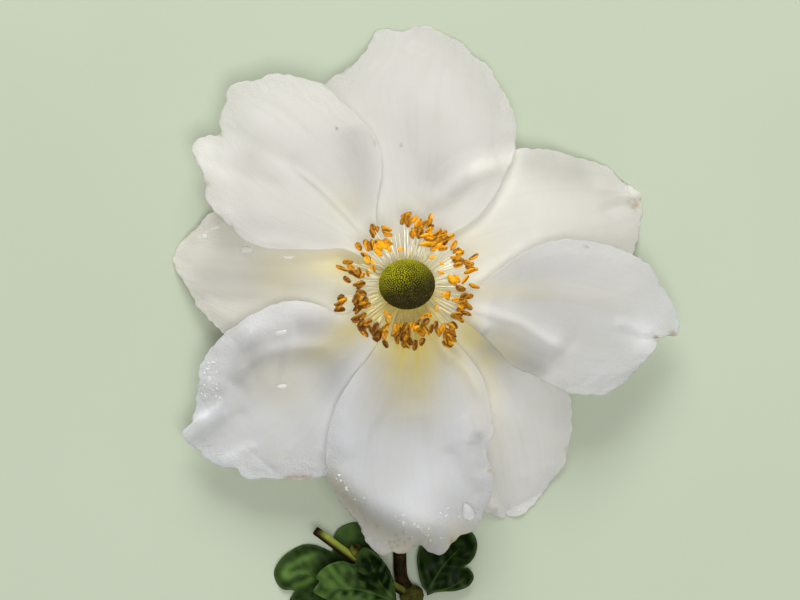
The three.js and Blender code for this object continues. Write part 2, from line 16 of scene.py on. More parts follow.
import bpy
import numpy as np
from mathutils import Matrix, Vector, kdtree

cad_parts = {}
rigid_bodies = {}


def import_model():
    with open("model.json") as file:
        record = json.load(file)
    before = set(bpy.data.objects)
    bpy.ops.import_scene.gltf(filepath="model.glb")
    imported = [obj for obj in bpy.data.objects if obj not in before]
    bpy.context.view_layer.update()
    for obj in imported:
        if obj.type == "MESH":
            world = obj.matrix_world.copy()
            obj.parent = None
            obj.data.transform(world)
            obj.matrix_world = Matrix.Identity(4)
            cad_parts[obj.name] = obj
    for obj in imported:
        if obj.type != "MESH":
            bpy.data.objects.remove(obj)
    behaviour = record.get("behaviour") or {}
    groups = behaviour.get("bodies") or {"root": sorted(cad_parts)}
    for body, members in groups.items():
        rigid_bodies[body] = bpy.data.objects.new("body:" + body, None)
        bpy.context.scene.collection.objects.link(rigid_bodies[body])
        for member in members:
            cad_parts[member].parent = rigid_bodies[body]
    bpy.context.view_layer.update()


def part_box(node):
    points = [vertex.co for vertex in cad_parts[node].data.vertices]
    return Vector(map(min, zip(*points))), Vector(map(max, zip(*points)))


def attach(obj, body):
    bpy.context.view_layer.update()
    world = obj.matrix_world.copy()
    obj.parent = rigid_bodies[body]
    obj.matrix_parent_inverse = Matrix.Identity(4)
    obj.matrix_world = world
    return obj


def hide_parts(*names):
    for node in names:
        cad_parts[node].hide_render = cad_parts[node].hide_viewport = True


log = logging.getLogger("anemone")

MM = 0.001
TINY = 1e-12  # keeps a length of nothing from being divided by
TABLE_GAP = 0.02  # how far what lies on the table stays above it, in millimetres
GOLDEN_ANGLE = math.radians(137.508)

Array = np.ndarray
Piece = bpy.types.Object
Tree = bpy.types.NodeTree
Socket = bpy.types.NodeSocket
Dice = np.random.Generator
Faces = list[list[int]]
Marks = dict[str, Array]
Pair = tuple[float, float]
Points = Sequence[Pair]
Triple = tuple[float, float, float]
Place = Triple
# The limits of a noise, and what is made of it there
Range = tuple[float, float, float, float]


# Small mathematics


def smooth(t: Array | float) -> Array:
    """A soft step from 0 to 1 as t goes from 0 to 1."""
    t = np.clip(t, 0.0, 1.0)
    return t * t * (3.0 - 2.0 * t)


def bell(t: Array | float) -> Array:
    """1 at t = 0, falling softly to nothing by about 2."""
    return np.exp(-np.square(t))


def turned(x: Array, y: Array, angle: float) -> tuple[Array, Array]:
    """x and y turned anticlockwise by an angle in radians."""
    return x * math.cos(angle) - y * math.sin(angle), x * math.sin(angle) + y * math.cos(angle)


def polar(reach: float, angle: float, z: float) -> Array:
    """The point that lies this far out, at this angle in radians and at this height."""
    return np.array([reach * math.cos(angle), reach * math.sin(angle), z])


def stations(pairs: Points, x: Array) -> Array:
    """Values at x of the smooth curve through (x, value) stations.

    Args:
        pairs: The stations, in rising order of x.
        x: Where the curve is read; beyond the ends it stays level.

    Returns:
        The values, shaped as x.
    """
    px, pv = np.array(pairs, float).T
    x = np.clip(x, px[0], px[-1])
    last = len(px) - 1
    i = np.clip(np.searchsorted(px, x, side="right") - 1, 0, last - 1)
    before, after = np.maximum(i - 1, 0), np.minimum(i + 2, last)
    step, rise = px[i + 1] - px[i], pv[i + 1] - pv[i]
    t = (x - px[i]) / step
    start = (pv[i + 1] - pv[before]) / (px[i + 1] - px[before]) * step
    end = (pv[after] - pv[i]) / (px[after] - px[i]) * step
    return pv[i] + t * start + t * t * (3 * rise - 2 * start - end) + t**3 * (start + end - 2 * rise)


def catmull_rom(points: Sequence[Sequence[float]], per_piece: int = 40) -> Array:
    """A dense centripetal Catmull-Rom line through points, of any number of coordinates.

    Args:
        points: The points that the line goes through.
        per_piece: Steps between one point and the next.

    Returns:
        The line's points, one row each.
    """
    p = np.asarray(points, float)
    p = np.vstack([2 * p[0] - p[1], p, 2 * p[-1] - p[-2]])
    t = np.linspace(0, 1, per_piece, endpoint=False)[:, None]
    out = []
    for a, b, c, d in zip(p, p[1:], p[2:], p[3:]):
        d0, d1, d2 = (np.sum((q - r) ** 2) ** 0.25 for q, r in ((b, a), (c, b), (d, c)))
        t1 = ((b - a) / d0 - (c - a) / (d0 + d1) + (c - b) / d1) * d1
        t2 = ((c - b) / d1 - (d - b) / (d1 + d2) + (d - c) / d2) * d1
        out.append(b + t1 * t + (3 * (c - b) - 2 * t1 - t2) * t**2 + (2 * (b - c) + t1 + t2) * t**3)
    return np.vstack([*out, p[-2:-1]])


@dataclass
class Track:
    """A smooth line that can be read at equal shares of its length."""

    points: Sequence[Sequence[float]]
    line: Array = field(init=False)
    share: Array = field(init=False)

    def __post_init__(self) -> None:
        """Makes the dense line and the share of its length at each point."""
        self.line = catmull_rom(self.points)
        steps = np.linalg.norm(np.diff(self.line, axis=0), axis=1)
        run = np.concatenate([[0.0], np.cumsum(steps)])
        self.share = run / run[-1]

    def at(self, share: Array | float) -> Array:
        """The points at these shares of the length, one row each."""
        share = np.atleast_1d(share)
        return np.stack([np.interp(share, self.share, axis) for axis in self.line.T], axis=-1)


def from_line(line: Points, x: Array, y: Array) -> tuple[Array, Array]:
    """How far points lie from a line of straight pieces.

    Args:
        line: The line's corners.
        x: The points' x.
        y: The points' y.

    Returns:
        The distance, and how far along the line the nearest point is, from 0 to 1.
    """
    best, along = np.full(x.shape, np.inf), np.zeros(x.shape)
    pieces = len(line) - 1
    for i in range(pieces):
        (ax, ay), (bx, by) = line[i], line[i + 1]
        dx, dy = bx - ax, by - ay
        t = np.clip(((x - ax) * dx + (y - ay) * dy) / (dx * dx + dy * dy), 0, 1)
        distance = np.hypot(x - ax - t * dx, y - ay - t * dy)
        nearer = distance < best
        best, along = np.where(nearer, distance, best), np.where(nearer, (i + t) / pieces, along)
    return best, along


def from_outline(outline: Points, x: Array, y: Array) -> Array:
    """How far points lie from a closed outline.

    Args:
        outline: The outline's corners in order.
        x: The points' x.
        y: The points' y.

    Returns:
        The distance, negative inside the outline.
    """
    corners = list(outline)
    distance, _ = from_line([*corners, corners[0]], x, y)
    inside = np.zeros(x.shape, bool)
    for (ax, ay), (bx, by) in zip([corners[-1], *corners[:-1]], corners):
        if ay == by:
            continue
        crosses = ((ay > y) != (by > y)) & (x < ax + (y - ay) / (by - ay) * (bx - ax))
        inside ^= crosses
    return np.where(inside, -distance, distance)


@dataclass(frozen=True)
class Ripples:
    """Even, seeded unevenness: a sum of waves with lengths round one size.

    Attributes:
        seed: The seed of the random directions and phases.
        size: The waves' middle length, in millimetres.
        waves: How many waves are added.
        spread: The shortest and the longest wave, as shares of the size.
    """

    seed: int
    size: float
    waves: int = 14
    spread: Pair = (0.7, 1.5)

    def at(self, x: Array, y: Array) -> Array:
        """The unevenness at places.

        Args:
            x: The places' x, in millimetres.
            y: The places' y.

        Returns:
            Its height there, about -1 to 1.
        """
        rng = np.random.default_rng(self.seed)
        total = np.zeros(np.broadcast(x, y).shape)
        for _ in range(self.waves):
            turn, phase = rng.uniform(0, 2 * math.pi, 2)
            number = 2 * math.pi / (self.size * rng.uniform(*self.spread))
            total += np.cos(number * (x * math.cos(turn) + y * math.sin(turn)) + phase)
        return total / math.sqrt(self.waves)


# Meshes


def flower_middle() -> Array:
    """The flower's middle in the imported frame, under the button and on the table, in millimetres."""
    low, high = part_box("carpel_button")
    return np.array([(low.x + high.x) / 2 / MM, (low.y + high.y) / 2 / MM, 0.0])


def add_object(name: str, data: bpy.types.ID) -> Piece:
    """Makes an object of this name from a mesh, a lamp or a camera, and links it to the scene."""
    bpy.context.scene.collection.objects.link(made := bpy.data.objects.new(name, data))
    return made


def mesh_piece(name: str, corners: Array, faces: Faces, marks: Marks) -> Piece:
    """Makes one smooth-shaded mesh object.

    Args:
        name: The piece's name.
        corners: The corners, one row each, in millimetres from the flower's middle.
        faces: The faces, as lists of corner numbers.
        marks: Values for each corner that the finish reads: one column, or three.

    Returns:
        The object, linked to the scene.
    """
    mesh = bpy.data.meshes.new(name)
    mesh.from_pydata(((corners + flower_middle()) * MM).tolist(), [], faces)
    mesh.polygons.foreach_set("use_smooth", [True] * len(mesh.polygons))
    for mark, values in marks.items():
        wide = values.ndim == 2
        layer = mesh.attributes.new(mark, "FLOAT_VECTOR" if wide else "FLOAT", "POINT")
        layer.data.foreach_set("vector" if wide else "value", values.astype(np.float32).ravel())
    mesh.validate()
    mesh.update()
    return add_object(name, mesh)


def place_piece(piece: Piece, finish: "Finish", slot: str, *nodes: str) -> None:
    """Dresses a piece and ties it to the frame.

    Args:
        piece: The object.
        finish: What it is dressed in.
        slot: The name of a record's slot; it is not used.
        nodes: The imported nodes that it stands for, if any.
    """
    piece.data.materials.append(finish.material())
    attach(piece, "root")
    if nodes:
        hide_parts(*nodes)
    log.info("%s: %d faces, in %s", piece.name, len(piece.data.polygons), finish.name)


def blade_piece(name: str, middle: Sequence[Array], thick: Array, marks: Marks) -> Piece:
    """Makes a closed thin sheet with a rounded rim, round a grid of points, clear of the table.

    Args:
        name: The piece's name.
        middle: The x, y and z of the middle points, by rows and columns. The upper face is on the
            left of the way along.
        thick: The thickness at each point.
        marks: Values for each point that the finish reads: one column, or three. The rim has 0.

    Returns:
        The sheet.
    """
    x, y, z = middle
    middle = np.stack([x, y, np.maximum(z, thick / 2 + TABLE_GAP)], axis=-1)
    rows, columns = thick.shape
    normal = np.cross(np.gradient(middle, axis=1), np.gradient(middle, axis=0))
    normal /= np.linalg.norm(normal, axis=2, keepdims=True) + TINY
    half = normal * thick[..., None] / 2
    upper, lower = middle + half, middle - half
    number = np.arange(rows * columns).reshape(rows, columns)
    loop = np.concatenate([number[0, :-1], number[:-1, -1], number[-1, :0:-1], number[:0:-1, 0]])
    rim = middle.reshape(-1, 3)[loop]
    way = np.roll(rim, -1, 0) - np.roll(rim, 1, 0)
    out = np.stack([way[:, 1], -way[:, 0], np.zeros(len(way))], axis=1)
    out /= np.linalg.norm(out, axis=1, keepdims=True) + TINY
    rim = rim + out * thick.reshape(-1)[loop, None] / 2
    corners = np.vstack([upper.reshape(-1, 3), lower.reshape(-1, 3), rim])
    a, b, c, d = number[:-1, :-1], number[:-1, 1:], number[1:, 1:], number[1:, :-1]
    top = np.stack([a, b, c, d], axis=-1).reshape(-1, 4)
    under = np.stack([a, d, c, b], axis=-1).reshape(-1, 4) + rows * columns
    edge = 2 * rows * columns + np.arange(len(loop))
    next_loop, next_edge = np.roll(loop, -1), np.roll(edge, -1)
    high = np.stack([edge, next_edge, next_loop, loop], axis=-1)
    low = np.stack([loop + rows * columns, next_loop + rows * columns, next_edge, edge], axis=-1)
    faces = np.vstack([top, under, high, low]).tolist()
    flat = {mark: values.reshape(-1, *values.shape[2:]) for mark, values in marks.items()}
    both = {mark: np.concatenate([v, v, np.zeros((len(rim), *v.shape[1:]))]) for mark, v in flat.items()}
    return mesh_piece(name, corners, faces, both)


def stack_faces(rings: int, sides: int) -> Faces:
    """The faces of a closed stack of rings that run anticlockwise seen from the last ring.

    Args:
        rings: How many rings there are.
        sides: How many corners each ring has.

    Returns:
        The walls, and a flat face at either end.
    """
    number = np.arange(rings * sides).reshape(rings, sides)
    following = np.roll(number, -1, 1)
    walls = np.stack([number[:-1], following[:-1], following[1:], number[1:]], axis=-1)
    return [*walls.reshape(-1, 4).tolist(), number[0][::-1].tolist(), number[-1].tolist()]


@dataclass
class Heap:
    """Small like parts that are gathered into one piece."""

    corners: list[Array] = field(default_factory=list)
    faces: Faces = field(default_factory=list)
    marks: dict[str, list[Array]] = field(default_factory=dict)
    size: int = 0

    def add(self, corners: Array, faces: Faces, **marks: Array) -> None:
        """Adds one part.

        Args:
            corners: Its corners, in millimetres.
            faces: Its faces, as numbers of its own corners.
            **marks: By name, a value for each of its corners.
        """
        self.faces += [[i + self.size for i in face] for face in faces]
        self.corners.append(corners)
        for name, values in marks.items():
            self.marks.setdefault(name, []).append(values)
        self.size += len(corners)

    def piece(self, name: str) -> Piece:
        """Makes the piece."""
        marks = {mark: np.concatenate(values) for mark, values in self.marks.items()}
        return mesh_piece(name, np.vstack(self.corners), self.faces, marks)


def tube(line: Array, radius: Array, sides: int) -> tuple[Array, Faces]:
    """A closed round tube along a line, with flat ends.

    Args:
        line: The middle line's points.
        radius: The radius at each point, or at each point and side.
        sides: How many sides it has.

    Returns:
        The corners and the faces.
    """
    way = np.gradient(line, axis=0)
    way /= np.linalg.norm(way, axis=1, keepdims=True)
    side = np.cross(way[0], [0.0, 0.0, 1.0])
    if np.linalg.norm(side) < 0.1:  # the line starts nearly upright
        side = np.cross(way[0], [0.0, 1.0, 0.0])
    sides_of, ups = [], []
    for direction in way:
        side = side - direction * side.dot(direction)
        side /= np.linalg.norm(side)
        sides_of.append(side)
        ups.append(np.cross(side, direction))
    turn = 2 * math.pi * np.arange(sides) / sides
    radius = np.broadcast_to(np.asarray(radius, float).reshape(len(line), -1), (len(line), sides))
    ring = np.array(sides_of)[:, None] * np.cos(turn)[:, None]
    ring = ring + np.array(ups)[:, None] * np.sin(turn)[:, None]
    corners = (line[:, None] + ring * radius[..., None]).reshape(-1, 3)
    return corners, [face[::-1] for face in stack_faces(len(line), sides)]


# Finishes


class Pattern(Enum):
    """What a pattern's places are measured by."""

    OBJECT = "Object"
    GRAIN = "grain"


def linear(colour: str) -> tuple[float, float, float, float]:
    """The sRGB hex colour "#RRGGBB" as linear red, green and blue, with an alpha of 1."""
    parts = [int(colour[i : i + 2], 16) / 255 for i in (1, 3, 5)]
    return *(c / 12.92 if c <= 0.04045 else ((c + 0.055) / 1.055) ** 2.4 for c in parts), 1.0


def add_node(
    tree: Tree,
    kind: str,
    settings: dict | None = None,
    values: dict | None = None,
    links: dict | None = None,
) -> bpy.types.Node:
    """Adds a node with its settings and links.

    Args:
        tree: The node tree that it is added to.
        kind: The node's type, without "ShaderNode".
        settings: The node's own settings.
        values: Values set on its input sockets, by their name or number.
        links: Output sockets joined to its input sockets.

    Returns:
        The node.
    """
    node = tree.nodes.new("ShaderNode" + kind)
    for name, value in (settings or {}).items():
        setattr(node, name, value)
    for name, value in (values or {}).items():
        node.inputs[name].default_value = value
    for name, source in (links or {}).items():
        tree.links.new(source, node.inputs[name])
    return node


# The setting that makes the Mix node mix colours, and the numbers of its sockets then
OF_COLOURS = {"data_type": "RGBA"}
MIX_A, MIX_B, MIX_OUT = 6, 7, 2
LIMITS = ("From Min", "From Max", "To Min", "To Max")  # the Map Range node's sockets, as in a Range
NOISE_LIMITS = (0.3, 0.7)  # between which nearly all of a noise lies
SEED_WAY = (1.0, 1.7, 0.6)  # the way that a seed shifts a noise


@dataclass(frozen=True)
class Finish:
    """A finish, which makes its own material."""

    name: str

    def material(self) -> bpy.types.Material:
        """The finish's material, made on first use.

        Returns:
            The material.
        """
        made = bpy.data.materials.get(self.name)
        if made is None:
            made = bpy.data.materials.new(self.name)
            made.use_nodes = True
            made.node_tree.nodes.clear()
            surface = self.surface(made.node_tree)
            add_node(made.node_tree, "OutputMaterial", links={"Surface": surface})
        return made

    def surface(self, tree: Tree) -> Socket:
        """Adds the finish's nodes and gives the shader's output."""
        raise NotImplementedError


def blotches(tree: Tree, by: Pattern, size: Place, detail: float = 3.0, seed: float = 0.0) -> Socket:
    """Adds noise whose blotches measure size millimetres along each axis.

    Args:
        tree: The node tree that it is added to.
        by: What the places are measured by.
        size: The blotches' size along x, y and z, in millimetres.
        detail: How much finer noise lies on top.
        seed: A shift that makes one noise differ from another.

    Returns:
        The noise's factor.
    """
    if by is Pattern.OBJECT:
        source, unit = add_node(tree, "TexCoord").outputs["Object"], MM
    else:
        source, unit = add_node(tree, "Attribute", {"attribute_name": by.value}).outputs["Vector"], 1.0
    values = {"Scale": [1 / (unit * s) for s in size], "Location": [seed * s for s in SEED_WAY]}
    mapped = add_node(tree, "Mapping", values=values, links={"Vector": source})
    values = {"Scale": 1.0, "Detail": detail, "Roughness": 0.55}
    return add_node(tree, "TexNoise", values=values, links={"Vector": mapped.outputs[0]}).outputs["Fac"]


@dataclass(frozen=True)
class PetalTissue(Finish):
    """Petal tissue: a third of a millimetre of watery living cells under a thin skin of wax.

    It scatters nearly all light and lets the rest through, so that the eye sees a soft white with
    a satin sheen, faint veins from base to tip, and a crisp glitter where the margin is crinkled.

    Attributes:
        warm: The white of the creamiest petals.
        cool: The bluish white of painted sky light, mixed into each petal's white, most into the lower ones'.
        shade: The slightly greyer white of its clouds and veins.
        cream: Its colour near the receptacle: its own cream, brighter than its white as painted light against
            the stamens' shade.
        heart: Yellow green, in streaks and patches further out.
        dull: A grey white, laid as some petals' own duller white and as painted shade.
        bruise: Ochre, where an edge has dried.
        speck: Nearly black, for grains of dust.
        vein_pitch: The veins' distance across, and how far they run before they fade.
        cell: The cells' size. Real ones are a few hundredths of a millimetre, too fine to show, so
            they are drawn ten times as coarse.
        cloud: The size of its greyer and whiter clouds.
        veining: How the veins turn the shade.
        clouding: How the clouds turn the shade.
        streaking: How the veins make the yellow green stronger and weaker.
        rough: How the cells make the roughness lower and higher.
        grain: How far the cells of a crinkled margin stand up, in millimetres.
        rib: How far the veins stand up.
        through: How much of the light passes through, from 0 to 1.
    """

    warm: str = "#FBF8EF"
    cool: str = "#F2F4FB"
    shade: str = "#E9E7DE"
    cream: str = "#FFFBE2"
    heart: str = "#EEDC72"
    dull: str = "#A0A09A"
    bruise: str = "#A8872F"
    speck: str = "#4A3527"
    vein_pitch: Pair = (0.9, 16.0)
    cell: float = 0.28
    cloud: float = 8.0
    veining: Range = (0.5, 0.8, 0.0, 0.35)
    clouding: Range = (0.35, 0.7, 0.0, 0.3)
    streaking: Range = (*NOISE_LIMITS, 1.15, 0.6)
    rough: Range = (*NOISE_LIMITS, 0.4, 0.6)
    grain: float = 0.2
    rib: float = 0.06
    through: float = 0.6

    def surface(self, tree: Tree) -> Socket:
        """Satin white that light passes through, with faint veins, fine grain and dried edges.

        Args:
            tree: The material's node tree.

        Returns:
            The shader's output.
        """
        node = partial(add_node, tree)
        veins = blotches(tree, Pattern.GRAIN, (*self.vein_pitch, 1.0), 3.0)
        cells = blotches(tree, Pattern.OBJECT, (self.cell,) * 3, 2.0, 3.0)
        clouds = blotches(tree, Pattern.OBJECT, (self.cloud,) * 3, 2.0, 7.0)
        marks = {
            name: node("Attribute", {"attribute_name": name}).outputs["Fac"]
            for name in ("cream", "heart", "dull", "bruise", "speck", "crinkle", "cool")
        }
        veined, cloudy, streaky, rough = (
            node("MapRange", values=dict(zip(LIMITS, limits)), links={"Value": noise}).outputs["Result"]
            for noise, limits in (
                (veins, self.veining), (clouds, self.clouding), (veins, self.streaking), (cells, self.rough)
            )
        )
        product = {"operation": "MULTIPLY", "use_clamp": True}
        tinted = node("Math", product, links={0: marks["heart"], 1: streaky}).outputs["Value"]
        # The warm white, tinted by the painted bluish sky light
        whites = {MIX_A: linear(self.warm), MIX_B: linear(self.cool)}
        colour = node("Mix", OF_COLOURS, whites, {"Factor": marks["cool"]})
        # Over the white come the veins' and clouds' greyer white, the grey with its painted shade and light,
        # the cream with its painted light, the yellow green, the dried edges and the dust
        for tint, share in (
            (self.shade, veined),
            (self.shade, cloudy),
            (self.dull, marks["dull"]),
            (self.cream, marks["cream"]),
            (self.heart, tinted),
            (self.bruise, marks["bruise"]),
            (self.speck, marks["speck"]),
        ):
            below = {"Factor": share, MIX_A: colour.outputs[MIX_OUT]}
            colour = node("Mix", OF_COLOURS, {MIX_B: linear(tint)}, below)
        relief = {"Height": cells, "Strength": marks["crinkle"]}
        grained = node("Bump", values={"Distance": self.grain * MM}, links=relief)
        relief = {"Height": veins, "Normal": grained.outputs["Normal"]}
        ribbed = node("Bump", values={"Strength": 0.5, "Distance": self.rib * MM}, links=relief)
        look = {"Color": colour.outputs[MIX_OUT], "Normal": ribbed.outputs["Normal"]}
        skin = node(
            "BsdfPrincipled",
            {"subsurface_method": "RANDOM_WALK"},
            {
                "Subsurface Weight": 0.35,
                "Subsurface Radius": (1.0, 0.95, 0.8),
                "Subsurface Scale": 0.5 * MM,
                "Specular IOR Level": 0.35,
                "IOR": 1.42,
            },
            {"Base Color": look["Color"], "Roughness": rough, "Normal": look["Normal"]},
        )
        glow = node("BsdfTranslucent", links=look)
        both = {1: skin.outputs["BSDF"], 2: glow.outputs["BSDF"]}
        return node("MixShader", values={"Fac": self.through}, links=both).outputs["Shader"]


@dataclass(frozen=True)
class Plant(Finish):
    """A matt or satin plant surface in two colours, with small flecks of a third.

    Attributes:
        dark: The colour where the mark tone is 0.
        light: The colour where the mark tone is 1.
        fleck: The flecks' colour.
        flecks: How much of the surface has flecks, from 0 to 1.
        size: The flecks' size, in millimetres.
        rough: The roughness, lowest and highest.
        relief: How far the flecks stand up, in millimetres.
        under_skin: How much light scatters under the skin, from 0 to 1.
        gloss: How strongly it mirrors, where 0.5 is bare plastic.
    """

    dark: str = "#20331A"
    light: str = "#5F7F45"
    fleck: str = "#88A070"
    flecks: float = 0.3
    size: float = 0.8
    rough: Pair = (0.4, 0.6)
    relief: float = 0.03
    under_skin: float = 0.0
    gloss: float = 0.4

    def surface(self, tree: Tree) -> Socket:
        """Two colours by the mark tone, flecked and softly uneven.

        Args:
            tree: The material's node tree.

        Returns:
            The shader's output.
        """
        node = partial(add_node, tree)
        tone = node("Attribute", {"attribute_name": "tone"}).outputs["Fac"]
        specks = blotches(tree, Pattern.OBJECT, (self.size,) * 3, 4.0, 2.0)
        # The more flecks there are, the more of the noise they take
        flecking = (0.62 - 0.3 * self.flecks, 0.78, 0.0, self.flecks)
        flecked, rough = (
            node("MapRange", values=dict(zip(LIMITS, limits)), links={"Value": specks}).outputs["Result"]
            for limits in (flecking, (*NOISE_LIMITS, *self.rough))
        )
        colours = {MIX_A: linear(self.dark), MIX_B: linear(self.light)}
        colour = node("Mix", OF_COLOURS, colours, {"Factor": tone})
        below = {"Factor": flecked, MIX_A: colour.outputs[MIX_OUT]}
        colour = node("Mix", OF_COLOURS, {MIX_B: linear(self.fleck)}, below)
        relief = {"Strength": 0.8, "Distance": self.relief * MM}
        uneven = node("Bump", values=relief, links={"Height": specks})
        shader = node(
            "BsdfPrincipled",
            {"subsurface_method": "RANDOM_WALK"},
            {
                "Subsurface Weight": self.under_skin,
                "Subsurface Radius": (0.8, 1.0, 0.4),
                "Subsurface Scale": 0.4 * MM,
                "Specular IOR Level": self.gloss,
                "IOR": 1.42,
            },
            {"Base Color": colour.outputs[MIX_OUT], "Roughness": rough, "Normal": uneven.outputs["Normal"]},
        )
        return shader.outputs["BSDF"]


@dataclass(frozen=True)
class DewWater(Finish):
    """Dew: clear water that has settled in the night, held round by its own tension.

    The petal shows through it, darker at the rim that faces the light and bright on the far side,
    where the drop gathers the light.

    Attributes:
        body: What it adds over the petal.
        rim: The darker edge on the light's side.
        glint: The bright edge on the far side.
        solid: How much of the petal it hides, from 0 to 1.
    """

    body: str = "#E8EAE8"
    rim: str = "#6C7273"
    glint: str = "#FFFFFF"
    solid: float = 0.33

    def surface(self, tree: Tree) -> Socket:
        """Half clear water with its rim and its glint drawn by two marks.

        Args:
            tree: The material's node tree.

        Returns:
            The shader's output.
        """
        node = partial(add_node, tree)
        rim, glint = (node("Attribute", {"attribute_name": mark}).outputs["Fac"] for mark in ("rim", "glint"))
        colours = {MIX_A: linear(self.body), MIX_B: linear(self.rim)}
        colour = node("Mix", OF_COLOURS, colours, {"Factor": rim})
        below = {"Factor": glint, MIX_A: colour.outputs[MIX_OUT]}
        colour = node("Mix", OF_COLOURS, {MIX_B: linear(self.glint)}, below)
        waver = blotches(tree, Pattern.OBJECT, (1.5, 1.5, 1.5), 1.0)
        relief = {"Strength": 0.1, "Distance": 0.02 * MM}
        skin = node("Bump", values=relief, links={"Height": waver})
        shader = node(
            "BsdfPrincipled",
            values={"Roughness": 0.08, "IOR": 1.33, "Specular IOR Level": 0.6, "Alpha": self.solid},
            links={"Base Color": colour.outputs[MIX_OUT], "Normal": skin.outputs["Normal"]},
        )
        return shader.outputs["BSDF"]


@dataclass(frozen=True)
class TableTop(Finish):
    """Emulsion paint, rolled on a smooth board: pale, matt and even, so that it shows soft shadows only.

    Attributes:
        paint: The paint's pale grey green.
        worn: The same where it is a little thinner.
        cloud: The size of the thinner places, in millimetres.
    """

    paint: str = "#ABB4A0"
    worn: str = "#A3AC97"
    cloud: float = 60.0

    def surface(self, tree: Tree) -> Socket:
        """Flat paint with a hardly visible cloudiness.

        Args:
            tree: The material's node tree.

        Returns:
            The shader's output.
        """
        clouds = blotches(tree, Pattern.OBJECT, (self.cloud,) * 3, 2.0)
        colours = {MIX_A: linear(self.paint), MIX_B: linear(self.worn)}
        paint = add_node(tree, "Mix", OF_COLOURS, colours, {"Factor": clouds}).outputs[MIX_OUT]
        matt = {"Roughness": 0.85, "Specular IOR Level": 0.2}
        return add_node(tree, "BsdfPrincipled", values=matt, links={"Base Color": paint}).outputs["BSDF"]


PETAL_WHITE = PetalTissue("petal_tissue_white")
# Anthers, the stamens' pollen sacs: a dry skin that has split along its seams and is powdered with
# grains of a few hundredths of a millimetre, drawn at 0.2 mm; matt orange with brown seams, darkened by
# painted shade
POLLEN = Plant(
    "anther_pollen_sacs", dark="#4A2200", light="#FBAE0E", fleck="#FFC92E", flecks=0.3, size=0.2,
    rough=(0.6, 0.85), relief=0.03, under_skin=0.1, gloss=0.25,
)
# Filaments, the stamens' threads: watery and half clear, so that they gleam a pale yellow
FILAMENT = Plant(
    "filament_threads", dark="#CBAE02", light="#FFFDE0", fleck="#FFFFE6", flecks=0.2, size=0.6,
    rough=(0.45, 0.6), relief=0.01, under_skin=0.5, gloss=0.2,
)
# Carpels, the young fruits: each a smooth bead under a small cap; satin olive, with painted shade in the gaps
# and painted light on the upper left side
CARPEL = Plant(
    "carpel_beads", dark="#170F02", light="#CFCB12", fleck="#E6DE4A", flecks=0.2, size=0.2,
    rough=(0.4, 0.6), relief=0.01, gloss=0.12,
)
# Stem skin: dark green and slightly waxy, grown in lengthwise ridges and stained a reddish brown
STEM_SKIN = Plant(
    "stem_skin", dark="#0D0C02", light="#8E9A3C", fleck="#4E2B12", flecks=0.5, size=1.0,
    rough=(0.45, 0.65), relief=0.05, gloss=0.05,
)
# Receptacle: smooth young flesh that has had no sun; pale green and softly translucent
RECEPTACLE_FLESH = Plant(
    "receptacle_flesh", dark="#8E944A", light="#D9DB9E", fleck="#B8BC70", flecks=0.3, size=0.7,
    rough=(0.45, 0.6), relief=0.03, under_skin=0.3, gloss=0.3,
)
# Leaf skin: a thin wax over dark tissue that has grown up between its veins; deep green, faintly glossy
LEAF_SKIN = Plant(
    "leaf_skin", dark="#051100", light="#709648", fleck="#1E3604", flecks=0.2, size=2.2,
    rough=(0.3, 0.42), relief=0.05, gloss=0.04,
)
WATER = DewWater("dew_water")
TABLE = TableTop("table_paint")


# Petals

BLADE = 0.6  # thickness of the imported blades, whose middles the pieces here share
PETAL_BASE_Z = 9.2  # height of the lowest layer where its petals leave the receptacle
LAYER = 1.05  # from one layer of petals up to the next
CLEARANCE = 0.7  # between the middles of a petal and of one that lies on it
DRAPE_INSIDE, DRAPE_OUTSIDE = 1.2, 5.0  # where a petal bends under another, from that one's outline out
CAMBER_REACH = 12.0  # how far from its axis a petal has risen by its camber
EDGE_REACH = 3.0  # how far in from the margin a petal is crinkled
THIN_REACH = 2.2  # how far in from the margin it gets thicker
LIFT_REACH = 1.3  # how far the painted light on a petal reaches beside one that lies on it
HEART_START = 4.0  # how far out the cream of a petal's base starts to fade
HEART_REACH = 6.8  # how far out the yellow green of its base reaches
RELIEF = (0.12, 0.6)  # how far the cells stand up all over, and how much more at the crinkled margin
GRAIN_SPAN = (24.0, 34.0)  # a petal's width and length, which its veins are laid out by
# A petal's waves as a shift of its seed, a height and a length: crinkles in two sizes near the
# margin, then slow waves all over
WAVES = ((0, 0.07, 3.6), (50, 0.022, 1.2), (90, 0.08, 9.0))
NIBBLES = ((20, 0.09, 1.6), (30, 0.07, 4.5))  # the same for the raggedness of its margin
NIBBLE_REACH = 0.8


@dataclass(frozen=True)
class Fold:
    """A soft ridge, or a furrow where its height is negative, that fades towards its ends."""

    height: float
    width: float
    line: Points

    def at(self, x: Array, y: Array) -> Array:
        """The fold's height at these places."""
        distance, along = from_line(self.line, x, y)
        return self.height * smooth(np.minimum(along, 1 - along) * 4 + 0.25) * bell(distance / self.width)


@dataclass(frozen=True)
class Streak(Fold):
    """A soft streak of colour, whose height is its strength from 0 to 1 where it starts."""

    def at(self, x: Array, y: Array) -> Array:
        """The streak's strength at these places, fading along it."""
        distance, along = from_line(self.line, x, y)
        return self.height * (1 - along) ** 1.2 * bell(distance / self.width)


@dataclass(frozen=True)
class Spot:
    """A patch of colour at x, y of a radius, with its strength from 0 to 1."""

    x: float
    y: float
    radius: float
    strength: float = 0.8

    def at(self, x: Array, y: Array) -> Array:
        """The patch's strength at these places."""
        return self.strength * bell(np.hypot(x - self.x, y - self.y) / self.radius)


Mark = Fold | Spot


def strongest(marks: Sequence[Mark], x: Array, y: Array) -> Array:
    """The strength, from 0 to 1, of the strongest mark at each place."""
    return np.minimum(np.max([np.zeros(x.shape), *(mark.at(x, y) for mark in marks)], axis=0), 1)


